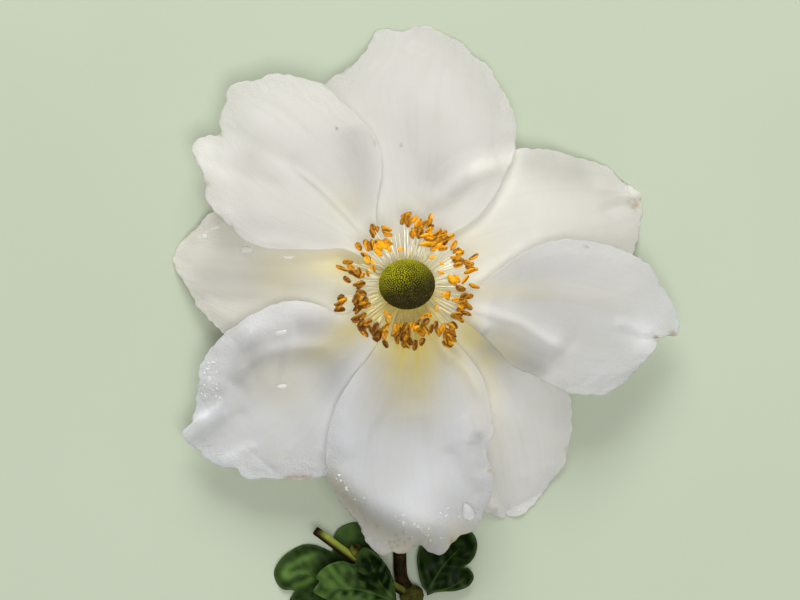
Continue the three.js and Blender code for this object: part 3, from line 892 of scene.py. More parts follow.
@dataclass
class Petal:
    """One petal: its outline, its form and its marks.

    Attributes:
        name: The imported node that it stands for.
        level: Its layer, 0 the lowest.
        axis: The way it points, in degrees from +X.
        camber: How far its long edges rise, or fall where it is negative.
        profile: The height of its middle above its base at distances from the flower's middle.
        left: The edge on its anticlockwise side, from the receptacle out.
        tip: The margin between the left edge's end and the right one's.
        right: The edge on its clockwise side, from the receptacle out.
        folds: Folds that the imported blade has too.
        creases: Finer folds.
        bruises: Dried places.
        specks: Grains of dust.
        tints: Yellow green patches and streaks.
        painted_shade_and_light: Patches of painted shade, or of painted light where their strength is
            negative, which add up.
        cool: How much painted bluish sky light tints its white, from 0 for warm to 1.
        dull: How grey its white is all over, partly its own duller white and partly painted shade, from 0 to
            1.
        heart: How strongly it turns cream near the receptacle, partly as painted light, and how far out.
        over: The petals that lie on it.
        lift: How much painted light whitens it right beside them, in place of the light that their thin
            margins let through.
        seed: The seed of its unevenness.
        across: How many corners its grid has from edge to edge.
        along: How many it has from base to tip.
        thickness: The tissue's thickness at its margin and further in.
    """

    name: str
    level: int
    axis: float
    camber: float
    profile: Points
    left: Points
    tip: Points
    right: Points
    folds: Sequence[Fold] = ()
    creases: Sequence[Fold] = ()
    bruises: Sequence[Mark] = ()
    specks: Sequence[Mark] = ()
    tints: Sequence[Mark] = ()
    painted_shade_and_light: Sequence[Mark] = ()
    cool: float = 0.5
    dull: float = 0.0
    heart: Pair = (0.6, 14.0)
    over: Sequence["Petal"] = ()
    lift: float = 0.0
    seed: int = 1
    across: int = 120
    along: int = 112
    thickness: Pair = (0.14, 0.3)

    def outline(self) -> list[Pair]:
        """The closed outline's points."""
        return [*self.left, *self.tip, *self.right[::-1]]

    def height(self, x: Array, y: Array) -> Array:
        """The height of its middle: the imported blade's, with the creases added.

        Args:
            x: The places' x.
            y: The places' y.

        Returns:
            The heights. Near the petals that lie on it they keep a layer below those.
        """
        turn = math.radians(self.axis)
        sideways = (-x * math.sin(turn) + y * math.cos(turn)) / CAMBER_REACH
        z = PETAL_BASE_Z + self.level * LAYER + stations(self.profile, np.hypot(x, y))
        z = z + self.camber * sideways**2
        for fold in [*self.folds, *self.creases]:
            z = z + fold.at(x, y)
        z = np.maximum(z, BLADE / 2)
        for upper in self.over:
            apart = from_outline(upper.outline(), x, y)
            share = 1 - smooth((apart - DRAPE_INSIDE) / (DRAPE_OUTSIDE - DRAPE_INSIDE))
            z = z - share * np.maximum(0, z - upper.height(x, y) + CLEARANCE)
        return z

    def plan(self) -> tuple[Array, Array, Array, Array]:
        """Its grid seen from above: a sheet stretched between its edges.

        Returns:
            The grid's x and y, and its shares across and along.
        """
        left, right = Track(self.left), Track(self.right)
        tip = Track([self.left[-1], *self.tip, self.right[-1]])
        u = np.linspace(0, 1, self.across)[None, :, None]
        v = np.linspace(0, 1, self.along)[:, None, None]
        edge_l, edge_r = left.at(v.ravel())[:, None], right.at(v.ravel())[:, None]
        edge_t = tip.at(u.ravel())[None]
        base = (1 - u) * edge_l[:1] + u * edge_r[:1]
        corners = (1 - v) * base + v * ((1 - u) * edge_l[-1:] + u * edge_r[-1:])
        flat = (1 - u) * edge_l + u * edge_r + (1 - v) * base + v * edge_t - corners
        return flat[..., 0], flat[..., 1], u[..., 0] + 0 * v[..., 0], v[..., 0] + 0 * u[..., 0]

    def build(self) -> Piece:
        """Makes the petal.

        Returns:
            The petal's mesh object.
        """
        x, y, u, v = self.plan()
        x, y = self.nibbled(x, y, v)
        margin = np.maximum(-from_outline(self.outline(), x, y), 0)
        # The inner quarter of a petal has a smooth margin, here as in nibbled
        near_edge = bell(margin / EDGE_REACH) * smooth(v * 2.2 - 0.6)
        z = self.height(x, y)
        for (shift, height, length), share in zip(WAVES, (near_edge, near_edge, smooth(v * 2))):
            z = z + height * share * Ripples(self.seed + shift, length).at(x, y)
        low, high = self.thickness
        thick = low + (high - low) * smooth(margin / THIN_REACH)
        wide, long = GRAIN_SPAN
        marks = self.marks(x, y, near_edge)
        marks["grain"] = np.stack([(u - 0.5) * wide, v * long, np.full(x.shape, 3.0 * self.seed)], axis=-1)
        return blade_piece(self.name + "_tissue", (x, y, z), thick, marks)

    def marks(self, x: Array, y: Array, near_edge: Array) -> Marks:
        """What the petal's finish reads.

        Args:
            x: The grid's x.
            y: The grid's y.
            near_edge: How near the crinkled margin each place is, from 0 to 1.

        Returns:
            By name, each mark's values on the grid.
        """
        reach = np.hypot(x, y)
        strength, out = self.heart
        blotch = np.clip(0.85 + 0.35 * Ripples(self.seed + 7, 0.9).at(x, y), 0.3, 1.3)
        # Painted light right beside the petals that lie on it
        beside = np.zeros(x.shape)
        for upper in self.over:
            apart = np.maximum(from_outline(upper.outline(), x, y), 0)
            beside = np.maximum(beside, bell(apart / LIFT_REACH))
        # Its grey all over, partly painted shade, less the painted light beside the petals on it, plus its
        # patches of painted shade and light
        painted_shade_and_light = sum((mark.at(x, y) for mark in self.painted_shade_and_light), self.dull - self.lift * beside)
        # The cream near the receptacle is partly painted light against the stamens' shade
        return {
            "cream": strength * (1 - smooth((reach - HEART_START) / (out - HEART_START))) ** 1.3,
            "heart": np.maximum(strongest(self.tints, x, y), 0.9 * strength * bell(reach / HEART_REACH)),
            "dull": np.clip(painted_shade_and_light, 0, 1),
            "bruise": strongest(self.bruises, x, y) * blotch,
            "speck": strongest(self.specks, x, y),
            "crinkle": RELIEF[0] + RELIEF[1] * near_edge,
            "cool": np.full(x.shape, self.cool),
        }

    def nibbled(self, x: Array, y: Array, v: Array) -> tuple[Array, Array]:
        """Moves the points near the free margin in and out, so that it is a little ragged.

        Args:
            x: The points' x.
            y: The points' y.
            v: The points' shares of the way from base to tip.

        Returns:
            The moved x and y.
        """
        step = 0.2
        outline = self.outline()
        here = from_outline(outline, x, y)
        out_x = (from_outline(outline, x + step, y) - from_outline(outline, x - step, y)) / (2 * step)
        out_y = (from_outline(outline, x, y + step) - from_outline(outline, x, y - step)) / (2 * step)
        ragged = sum(depth * Ripples(self.seed + shift, size).at(x, y) for shift, depth, size in NIBBLES)
        ragged = ragged * bell(here / NIBBLE_REACH) * smooth(v * 3 - 0.8)
        return x + out_x * ragged, y + out_y * ragged

    def dress(self, piece: Piece) -> None:
        """Dresses the petal and puts it in its node's place."""
        place_piece(piece, PETAL_WHITE, "petal", self.name)


UPPER_LEFT = Petal(
    "petal_upper_left", 2, 137, 0.2,
    profile=[(3, 0), (10, 0.5), (20, 0.1), (29, -2.2), (36, -4.8)],
    left=[(-2.6, 1.8), (-8.7, 4.9), (-11.9, 4.8), (-16.7, 4.9), (-19.4, 5), (-21, 5.7), (-22.6, 6.4),
          (-23.9, 7.6), (-26.7, 10.4), (-27.9, 12.3), (-27.9, 13.9), (-28.9, 16.9)],
    tip=[(-29.8, 18.8), (-29.3, 20.2), (-26.9, 20.7), (-25.8, 21.2), (-26.1, 22.6),
         (-25.5, 24.3), (-24.9, 27.1), (-24.4, 27.8), (-20.7, 28.5)],
    right=[(-0.6, 3), (-4.2, 8.5), (-4.1, 11.8), (-3.5, 15.7), (-3.9, 18.9), (-5.3, 21.7), (-8, 24.3),
           (-11.8, 27.7), (-13.7, 28.4), (-17.2, 29.2), (-19.3, 29.2)],
    folds=[
        Fold(-0.8, 1.8, [(-17.5, 17.6), (-15, 15.8), (-12.2, 13.3), (-8.7, 10.1), (-6.3, 8)]),
        Fold(-0.6, 1.3, [(-26, 21.3), (-20, 19), (-15, 16.1)]),
    ],
    creases=[
        Fold(-0.7, 4, [(-8.5, 24.5), (-4.9, 20.3), (-3.8, 15.4), (-4.1, 9)]),
        Fold(0.45, 1.9, [(-17.5, 17.6), (-15, 15.8), (-12.2, 13.3), (-8.7, 10.1), (-6.3, 8)]),
        Fold(0.3, 1.3, [(-26, 21.3), (-20, 19), (-15, 16.1)]),
        Fold(0.22, 0.4, [(-15.5, 16.1), (-12.6, 13.9), (-10.5, 11.9), (-8, 9.3), (-5.9, 6.9)]),
        Fold(0.3, 0.9, [(-26.2, 10.9), (-23.4, 8), (-20.3, 6.2), (-14, 5.6)]),
        Fold(-0.25, 1.2, [(-28.3, 17.5), (-23.4, 15.4), (-16.4, 13.3)]),
        Fold(0.25, 1.6, [(-24, 24.5), (-19.9, 22.4), (-15, 20.3)]),
    ],
    tints=[Spot(-8.4, 11, 2.6, 0.12)],
    painted_shade_and_light=[
        Fold(0.22, 3, [(-7.6, 22.5), (-6.8, 19), (-6, 14), (-5.6, 8)]),
        Fold(0.14, 1.8, [(-25, 8.5), (-15, 6.4), (-8, 6.2)]), Spot(-12, 18, 4, 0.06),
        Spot(-21.5, 18, 2, 0.1), Spot(-25.5, 16, 2.5, -0.1), Spot(-28.5, 18, 2.5, -0.16),
        Spot(-15, 25, 5, -0.03), Fold(0.06, 2, [(-25, 10), (-16, 8.6), (-9, 9)]),
    ],
    bruises=[Spot(-4.3, 19.6, 0.35, 0.4), Spot(-27.7, 13.9, 0.4, 0.4), Spot(-25.9, 21, 0.35, 0.4)],
    specks=[Spot(-9.7, 21.6, 0.16, 0.8)],
    cool=0.3, dull=0.2, heart=(0.4, 12.0), seed=3,
)
RIGHT = Petal(
    "petal_right", 2, -8, -0.4,
    profile=[(3, 0), (10, 0.5), (20, 0.4), (29, -1.6), (38, -4.8)],
    left=[(3.1, -0.3), (8.8, -0.7), (12.1, 1.5), (14.9, 3.6), (18.6, 5.5), (22.4, 6.2), (26.7, 5.6),
          (30.5, 4.5), (33.5, 2.8), (34.6, 1.3)],
    tip=[(35.7, -0.4), (37.1, -2.8), (37.7, -4.2), (37.8, -6.9), (36.3, -7.1), (34.4, -7.4),
         (34.9, -8.1), (34, -9.5)],
    right=[(2.8, -1.6), (8.8, -5.6), (12.1, -8.6), (14.9, -11.3), (17.5, -12.5), (21.1, -14.3),
           (22.7, -15.1), (25.2, -15.3), (27.6, -15), (30.4, -13.4), (31.4, -12.2)],
    folds=[
        Fold(1.1, 2.2, [(11.5, -2.8), (14.8, -4.3), (17.8, -5.6), (19.9, -7.1), (21.8, -9.1)]),
        Fold(0.5, 0.9, [(8.3, -4.6), (9.8, -5.6), (10.9, -6.7)]),
    ],
    creases=[
        Fold(-0.6, 1.7, [(12.5, 2.2), (16.5, 4.9), (21.4, 6.4), (27, 5.6), (31.5, 4)]),
        Fold(0.35, 0.7, [(7.7, -3.2), (11.6, -3.9), (15.8, -5.3), (19.3, -7.7), (23.1, -9.4)]),
        Fold(-0.45, 1.4, [(10.2, -6.3), (14.4, -8), (18.6, -10.2), (22.8, -11.6)]),
        Fold(-0.45, 2.4, [(12, 0.5), (18.6, 1.8), (25.6, 1.4), (31.2, -0.7)]),
        Fold(0.4, 0.8, [(28.5, -5), (31.9, -6), (34.2, -7.1)]),
        Fold(0.2, 1.1, [(13, -1.4), (21.4, -0.9), (29.8, -2.3)]),
    ],
    tints=[
        Spot(8.5, -2, 2.4, 0.14), Spot(8.4, -5.2, 1.8, 0.3), Spot(13.2, -8.8, 3.2, 0.2),
        Streak(0.3, 1.6, [(5, -1), (14, -1), (34, -2)]),
    ],
    painted_shade_and_light=[
        Spot(16, 0, 8, 0.24),
        Fold(0.5, 2.1, [(4, -5.6), (8, -7.2), (12, -8.9), (16, -10.8), (20, -12.4)]),
        Fold(-0.17, 1.6, [(5, -1), (9, -3), (13, -4.9), (17, -6.6), (20.5, -8.6), (24, -9.8)]),
        Spot(33.5, -7.5, 2.5, -0.25),
    ],
    bruises=[Spot(37.1, -6.9, 0.5, 0.6), Spot(34.6, -7.4, 0.4, 0.6)],
    specks=[Spot(24.8, 5.2, 0.16, 0.8)],
    cool=0.6, dull=0.25, heart=(0.4, 13.0), seed=5,
)
BOTTOM = Petal(
    "petal_bottom", 2, -90, -0.5,
    profile=[(3, 0), (10, 0), (18, 0.6), (27, 1), (33, -1), (38, -4)],
    left=[(1.6, -2.7), (5.3, -6.3), (8.8, -10.5), (10.4, -12.9), (11.3, -16.1), (11.8, -20.9),
          (11.2, -21.7), (10.9, -23.1), (11.8, -26.6), (11.6, -29.1), (10.4, -31.9), (9.4, -34.3)],
    tip=[(8, -34.4), (6.2, -35.9), (5.5, -37.2), (3.7, -37.4), (1.8, -36.2), (-0.4, -37.3),
         (-2.5, -37.2), (-3.4, -37.6), (-5.4, -35.9)],
    right=[(-1.3, -2.9), (-4.5, -9), (-7.6, -13.1), (-9.9, -17.2), (-11, -22.7), (-10.8, -26.3),
           (-9.5, -29.3), (-8.9, -30.3), (-6.8, -33), (-6, -34.7)],
    folds=[
        Fold(-0.9, 3, [(-0.2, -6), (0, -9), (0.3, -13), (0.6, -18)]),
        Fold(0.7, 1, [(4.2, -6.6), (4.9, -8.6), (6.4, -10.6)]),
        Fold(-0.5, 1.2, [(9.8, -20), (10.2, -23), (10.6, -26.5)]),
    ],
    creases=[
        Fold(0.55, 1.9, [(-6.4, -10.5), (-8.5, -15.5), (-8.9, -20.3), (-8.2, -24.5)]),
        Fold(0.2, 1.9, [(-0.3, -5.4), (-0.2, -10), (0.2, -14.5)]),
        Fold(-0.45, 3, [(-4.5, -18.5), (-1, -20.5), (3.5, -20.8)]),
        Fold(0.9, 2.3, [(-11, -25.4), (-9, -27), (-5.2, -29.6), (-1.5, -31.5), (1.8, -33.1), (5.2, -34.8)]),
        Fold(0.4, 1.3, [(7.4, -18), (8.9, -20), (8.5, -22.1)]),
        Fold(-0.5, 1.3, [(5.2, -22.1), (7.4, -25.9), (10.2, -30.2)]),
        Fold(-0.35, 0.6, [(9.9, -20.9), (10.8, -23.1), (11.6, -25.8)]),
        Fold(0.4, 0.8, [(3.8, -5.8), (5.7, -9.1), (8.8, -12.2), (10.6, -16)]),
        Fold(-0.3, 0.7, [(0.6, -34), (1.4, -35.2), (1.8, -36.6)]),
    ],
    tints=[
        Spot(-1, -37, 2.8, 0.25), Spot(7.4, -35.2, 2.2, 0.25), Spot(2, -35, 2.4, 0.12),
        Fold(0.14, 1.6, [(-12, -25), (-7, -31.5), (-2, -36)]),
        Streak(0.7, 0.3, [(2.6, -14.6), (2.4, -17)]),
        Streak(1.5, 4.4, [(0.2, -3), (0.6, -9), (0.6, -14), (0.2, -21)]),
        Streak(0.5, 2.2, [(3, -4), (6.4, -9), (10.2, -15), (10.8, -24)]),
    ],
    painted_shade_and_light=[
        Spot(-0.5, -15, 6, 0.2), Spot(2, -30, 5.5, -0.32), Spot(2.5, -36.5, 2.6, 0.26),
        Fold(0.34, 1.7, [(-13, -24), (-9, -29), (-5, -32.5), (1, -35)]),
    ],
    bruises=[Spot(11.5, -25.6, 0.4, 0.4), Spot(6.3, -35.5, 0.35, 0.6)],
    specks=[Spot(x, y, 0.24, 0.3) for x, y in (
        (-1.5, -34.6), (-1.1, -35.3), (-0.4, -34.2), (-2.1, -36.5), (-1.3, -36.2), (-0.3, -35.7), (1, -36.3),
        (-2.4, -35.7), (-4.1, -33.3), (-1.7, -35.6), (0.3, -35.1),
    )],
    cool=0.8, dull=0.35, heart=(0.9, 15.5), seed=7,
)
TOP = Petal(
    "petal_top", 1, 88, -0.5,
    profile=[(3, 0), (10, 0.4), (20, -0.9), (29, -4.9), (36.5, -10)],
    left=[(-0.9, 2.9), (-2.9, 6), (-4.6, 9), (-7.6, 15), (-10.6, 21.5), (-11.9, 27.4), (-10, 29.4),
          (-8.6, 29.9), (-7.2, 31.2), (-5.7, 33.2), (-4.8, 35)],
    tip=[(-4.1, 36), (-3.1, 36.3), (-0.6, 35.8), (1.5, 36.6), (3.6, 36.4), (5.3, 35.4),
         (7.9, 34), (9.4, 32.3)],
    right=[(1.3, 2.8), (4.6, 6.3), (7.4, 7.7), (10.2, 9.8), (11.9, 12), (13.7, 15.4), (15, 18.8),
           (15.2, 23), (14.5, 25.1), (12.2, 29.4), (11, 31.3)],
    folds=[Fold(0.8, 1.8, [(12.6, 18.1), (10.2, 17.1), (7.4, 15.8), (4.6, 13.7), (1.8, 10.9)])],
    creases=[
        Fold(-0.5, 1.4, [(15, 19.6), (10.4, 18.9), (6.8, 17.4), (3.8, 15.1), (1.8, 12.4)]),
        Fold(0.5, 1.3, [(14.4, 17), (11, 16.1), (8.4, 14.7), (5.8, 12.8), (3.4, 10.2)]),
        Fold(-0.45, 2.3, [(5, 33.5), (9.8, 30.2), (12.6, 26.4), (13.8, 21.5)]),
        Fold(-0.25, 1.6, [(-1.3, 27.3), (-0.8, 22), (-0.3, 16)]),
        Fold(0.2, 1.3, [(1.9, 28), (2.4, 22), (2.2, 17)]),
    ],
    tints=[Spot(1.4, 9, 3, 0.08)],
    painted_shade_and_light=[
        Spot(0, 34, 6, -0.08), Spot(6, 26, 6, -0.04), Spot(1, 19, 6, 0.06), Spot(4, 15, 3, 0.18),
        Fold(-0.18, 1.4, [(8, 15.2), (11, 16.4), (14, 17.6), (18, 19)]),
    ],
    specks=[Spot(-0.8, 19.3, 0.16, 0.8)],
    cool=0.3, dull=0.25, heart=(0.3, 12.0), over=[UPPER_LEFT], lift=0.06, seed=11,
)
LOWER_LEFT = Petal(
    "petal_lower_left", 1, -142, -0.3,
    profile=[(3, 0), (10, 0.5), (20, -0.2), (30, -2.8), (37.5, -5.4)],
    left=[(-1.9, -2.4), (-2.4, -6), (-3.6, -9), (-6, -15), (-8.2, -22), (-10.9, -26.2), (-13.9, -27),
          (-20.3, -27), (-22.5, -26.9)],
    tip=[(-24.2, -25.6), (-26, -25.4), (-28.7, -23.6), (-31.2, -21.2), (-31.3, -20.5),
         (-30.2, -19.5), (-29.6, -18), (-29, -14.3)],
    right=[(-2.9, -0.7), (-8.7, -4.3), (-11.8, -3), (-15.3, -2.3), (-18.9, -3), (-22.5, -4.9),
           (-25.3, -6.9), (-27.8, -9.8), (-28.9, -12.1)],
    folds=[
        Fold(1, 2, [(-10, -4.8), (-15.3, -4), (-20, -5.4), (-24, -8)]),
        Fold(-0.8, 2.6, [(-22.5, -8.6), (-19.5, -9.6), (-16.5, -10.6)]),
        Fold(0.9, 1.6, [(-32, -20.8), (-28.4, -18.6), (-25.2, -16.8)]),
    ],
    creases=[
        Fold(0.4, 0.9, [(-24.5, -13.6), (-22, -10.6), (-19.2, -9.2), (-15, -8.5), (-9.4, -8.3)]),
        Fold(-0.4, 1.6, [(-22.6, -13.6), (-19.2, -12), (-15, -11.2), (-9.4, -10.8)]),
        Fold(0.75, 1.1, [(-36, -23.8), (-32.5, -21.5), (-30.2, -19.8), (-27.5, -17.6)]),
        Fold(0.3, 0.6, [(-30.6, -20), (-28.3, -18.3), (-24.4, -15.4)]),
        Fold(-0.4, 1.2, [(-30.2, -22.2), (-26.2, -19.6), (-22, -17.4)]),
        Fold(0.35, 0.8, [(-26.3, -25.2), (-23.7, -23.8), (-20.9, -22.2)]),
        Fold(-0.1, 0.25, [(-22.9, -22), (-20.6, -24.2), (-17.4, -26.8)]),
        Fold(-0.2, 1, [(-27.5, -12.6), (-24.8, -13.3), (-21.5, -15)]),
    ],
    tints=[
        Spot(-7.4, -5.8, 2.6, 0.35), Streak(0.6, 2.2, [(-5, -4.4), (-12, -9.4), (-20, -11.4)]),
        Spot(-17, -13.5, 5, 0.12),
    ],
    painted_shade_and_light=[
        Spot(-9.5, -13, 4.5, 0.36), Fold(0.26, 3.2, [(-25, -14), (-20, -12.5), (-14, -10), (-7, -8)]),
        Spot(-21.5, -9.8, 2.2, 0.3), Fold(0.2, 1.8, [(-16, -5.4), (-11, -5.8), (-6, -7)]),
        Fold(0.14, 1.5, [(-20, -3.5), (-14, -4), (-7, -4.5)]), Spot(-28, -16, 2.2, 0.1),
        Fold(0.12, 1.2, [(-31, -22.6), (-27, -21), (-23, -18.4)]),
        Fold(-0.3, 1, [(-34, -22.2), (-30, -19.6), (-26, -17.2)]), Spot(-26, -15.4, 1.8, 0.2),
        Spot(-23.5, -24.2, 2, -0.14),
    ],
    bruises=[Fold(0.5, 0.35, [(-17.4, -27), (-15.2, -26.7), (-12.8, -26.9)])],
    cool=0.75, dull=0.16, heart=(0.8, 14.5), over=[BOTTOM], lift=0.18, seed=13,
)
UPPER_RIGHT = Petal(
    "petal_upper_right", 0, 24, -0.3,
    profile=[(3, 0), (10, 0.2), (20, -1.6), (28, -5), (34, -8.9)],
    left=[(1.4, 2.9), (1.6, 7), (1.9, 10.5), (4.6, 13.7), (10.2, 17.1), (15, 18.8), (20.3, 18.8),
          (24.1, 17.8), (28, 16.7), (30.6, 14.7)],
    tip=[(33.1, 12.8), (32.9, 12), (33.3, 11.6), (33.2, 9.8), (32.5, 6)],
    right=[(3.2, 0.3), (6, -1.5), (9, -2.1), (17, -2.5), (25, -1.4), (30, 1.2), (31.9, 4.1)],
    creases=[
        Fold(0.35, 0.9, [(26, 14.4), (30.5, 13), (33, 12.3)]),
        Fold(-0.45, 0.9, [(27, 10.3), (30.5, 11.2), (32.8, 11.6)]),
        Fold(0.25, 2, [(17, 8), (23, 8.4), (29, 8)]),
    ],
    tints=[Spot(9, 5.4, 3.2, 0.14)],
    painted_shade_and_light=[
        Fold(0.18, 2.4, [(13, 18), (19, 17), (27, 15)]), Spot(31.5, 13, 2.4, -0.12),
        Fold(-0.1, 1.6, [(16, 20), (13, 13), (8, 7)]),
    ],
    bruises=[Spot(32.2, 11.4, 0.8, 0.42)],
    cool=0.2, dull=0.14, heart=(0.4, 14.0), over=[TOP, RIGHT], lift=0.22, seed=17,
)
LOWER_RIGHT = Petal(
    "petal_lower_right", 0, -57, -0.2,
    profile=[(3, 0), (10, 0.2), (20, -1.5), (28, -4.9), (35, -8.9)],
    left=[(2.9, -1.4), (9, -4), (15, -7), (20, -11), (22.7, -15.1), (23.1, -19.2), (22.8, -22.4),
          (22.2, -25.4), (21.1, -26.8)],
    tip=[(19.8, -28.6), (18.6, -30.3), (16.4, -32.4), (14.6, -32.7), (14, -32.3),
         (13.7, -32.9), (11.6, -32.1)],
    right=[(1.2, -3), (3.2, -9), (4.8, -15), (6.5, -22), (8.5, -28), (10.6, -31.8)],
    creases=[
        Fold(0.45, 0.7, [(10.6, -30.1), (12.3, -31.5), (13.8, -32.7)]),
        Fold(0.3, 1.1, [(11.9, -15.5), (12.8, -21.7), (12.2, -27.2)]),
        Fold(-0.25, 2, [(16, -14), (17.2, -20), (16.4, -27)]),
    ],
    tints=[
        Spot(9, -6.5, 3, 0.62), Spot(11, -10.5, 2.4, 0.3),
        Streak(0.25, 1.8, [(11, -12), (12, -20), (12, -29)]),
    ],
    painted_shade_and_light=[
        Spot(10.5, -9.5, 2.2, 0.35), Spot(13, -12, 3, 0.16),
        Fold(0.22, 1.3, [(7, -6.6), (9, -7.2), (12, -8.4), (16, -10.8)]),
    ],
    bruises=[Spot(12.5, -31.9, 0.45, 0.3), Spot(22.4, -23.1, 0.3, 0.35)],
    cool=0.45, dull=0.04, heart=(0.6, 18.0), over=[RIGHT, BOTTOM], seed=19,
)
LEFT = Petal(
    "petal_left", 0, 176, -0.3,
    profile=[(3, 0), (10, 0.2), (20, -1.8), (27, -5.2), (33, -8.9)],
    left=[(-3, -0.6), (-6, -3.6), (-9, -5.6), (-15, -7.6), (-22, -8.2), (-25.4, -6.8), (-28, -4.5),
          (-29.4, -3.1)],
    tip=[(-30.8, -0.4), (-32.5, 1.9), (-32.9, 3.4), (-32.3, 5.5)],
    right=[(-2.8, 1.3), (-8, 7), (-15, 9.5), (-22, 11), (-26.7, 10.4), (-28.7, 9.2), (-29.8, 7.7)],
    creases=[
        Fold(0.3, 2.2, [(-27, 3.2), (-20, 2.4), (-13, 2.2), (-6.6, 1.8)]),
        Fold(0.9, 4.5, [(-1, 1.5), (-6, 3.4), (-12, 5.2), (-20, 6.5), (-27, 8)]),
        Fold(0.3, 1.2, [(-30.5, -0.6), (-24, -0.6), (-17, -1.2)]),
        Fold(0.25, 0.7, [(-30.5, 6.3), (-27.6, 7.6), (-25.6, 9)]),
    ],
    tints=[
        Spot(-9, 2.2, 2.8, 0.2),
        Streak(0.6, 2.2, [(-5, 2.2), (-11, 2.8), (-16.5, 3.2), (-24, 3.2)]),
        Streak(0.4, 0.5, [(-6, 0.4), (-11, 0.3), (-16, -0.2)]), Spot(-17, 2, 4, 0.22),
    ],
    painted_shade_and_light=[Fold(0.26, 2.8, [(-32, 1), (-20, 0), (-7, -1)])],
    cool=0.1, dull=0.0, heart=(0.5, 18.0), over=[UPPER_LEFT, LOWER_LEFT], seed=23,
)
PETALS = [UPPER_LEFT, RIGHT, BOTTOM, TOP, LOWER_LEFT, UPPER_RIGHT, LOWER_RIGHT, LEFT]
BY_NAME = {petal.name: petal for petal in PETALS}


# The heart of the flower


@dataclass
class CarpelButton:
    """The dome of packed carpels, each a small bead with a pale tip, painted lighter on its upper left side
    and darker in the gaps and on the far side, as painted light and shade.

    Attributes:
        radius_x: Half its width.
        radius_y: Half its length.
        bottom: The height of its foot.
        height: How high it stands from there.
        under_angle: How far it closes in under its widest ring, in degrees of latitude.
        carpels: How many beads it has.
        bead: How far each stands out.
        bead_radius: Half of what each measures across.
        tip: How far each bead's tip stands up, and the tip's radius.
        young: The way to its side with painted light, as x and y; the far side gets painted shade.
        painted_highlight: The place and the radius of its painted highlight, its palest patch.
        greens: Its darkest tone, and how much the painted light of the lit side and the painted highlight
            add.
        around: How many corners its grid has around.
        rings: How many rings it has.
        shift: How far the beads are out of line.
        seed: The seed of those shifts.
    """

    radius_x: float = 3.68
    radius_y: float = 3.28
    bottom: float = 14.2
    height: float = 4.6
    under_angle: float = -58.0
    carpels: int = 1400
    bead: float = 0.15
    bead_radius: float = 0.15
    tip: Pair = (0.05, 0.06)
    young: Pair = (-0.35, 1.0)
    painted_highlight: Triple = (-0.9, 0.9, 1.5)
    greens: Triple = (0.04, 0.46, 0.2)
    around: int = 400
    rings: int = 160
    shift: float = 0.025
    seed: int = 73

    def point(self, turn: Array, angle: Array) -> Array:
        """Points of the smooth dome.

        Args:
            turn: Their latitude, in radians.
            angle: Their longitude.

        Returns:
            The points, with x, y and z along the last axis.
        """
        low = math.sin(math.radians(self.under_angle))
        x = self.radius_x * np.cos(turn) * np.cos(angle)
        y = self.radius_y * np.cos(turn) * np.sin(angle)
        return np.stack([x, y, self.bottom + self.height * (np.sin(turn) - low) / (1 - low)], axis=-1)

    def build(self) -> Piece:
        """Makes the dome with its beads in spiral rows.

        Returns:
            The dome.
        """
        low = math.radians(self.under_angle)
        count = np.arange(self.carpels)
        latitude = np.arcsin(1 - (count + 0.5) / self.carpels * (1 - math.sin(low)))
        seeds = self.point(latitude, count * GOLDEN_ANGLE)
        seeds = seeds + np.random.default_rng(self.seed).normal(0, self.shift, seeds.shape)
        tree = kdtree.KDTree(self.carpels)
        for i, seed in enumerate(seeds):
            tree.insert(seed, i)
        tree.balance()
        turn = np.linspace(low, math.pi / 2 - 0.004, self.rings)[:, None]
        angle = np.linspace(0, 2 * math.pi, self.around, endpoint=False)[None]
        dome = self.point(turn + 0 * angle, angle + 0 * turn)
        near = np.array([tree.find(p)[2] for p in dome.reshape(-1, 3)]).reshape(dome.shape[:2])
        bead = np.clip(1 - (near / self.bead_radius) ** 2, 0, 1)
        out = dome - np.array([0, 0, self.bottom + 0.4 * self.height])
        out /= np.linalg.norm(out, axis=2, keepdims=True)
        stands, width = self.tip
        raised = dome + out * (self.bead * np.sqrt(bead) + stands * bell(near / width))[..., None]
        # Painted light on the upper left side with a painted highlight, and painted shade on the far side and
        # in the gaps between the beads
        x, y, radius = self.painted_highlight
        lit = bell(np.hypot(dome[..., 0] - x, dome[..., 1] - y) / radius)
        sunward = (dome[..., 0] * self.young[0] + dome[..., 1] * self.young[1]) / self.radius_y
        darkest, side, patch = self.greens
        painted_light_and_shade = darkest + side * smooth(0.3 + 0.72 * sunward) + patch * lit
        patches = 1 + 0.12 * Ripples(71, 1.6).at(dome[..., 0], dome[..., 1])
        tone = np.clip(0.95 * bead**0.8 * painted_light_and_shade * patches, 0, 1)
        faces = stack_faces(self.rings, self.around)
        return mesh_piece("carpels", raised.reshape(-1, 3), faces, {"tone": tone.ravel()})

    def dress(self, piece: Piece) -> None:
        """Dresses the carpels in olive green."""
        place_piece(piece, CARPEL, "carpels", "carpel_button")


@dataclass(frozen=True)
class Tuft:
    """Stamens whose anthers stand together: where, how many, how widely, and their heading in degrees."""

    x: float
    y: float
    count: int
    spread: float
    heading: float


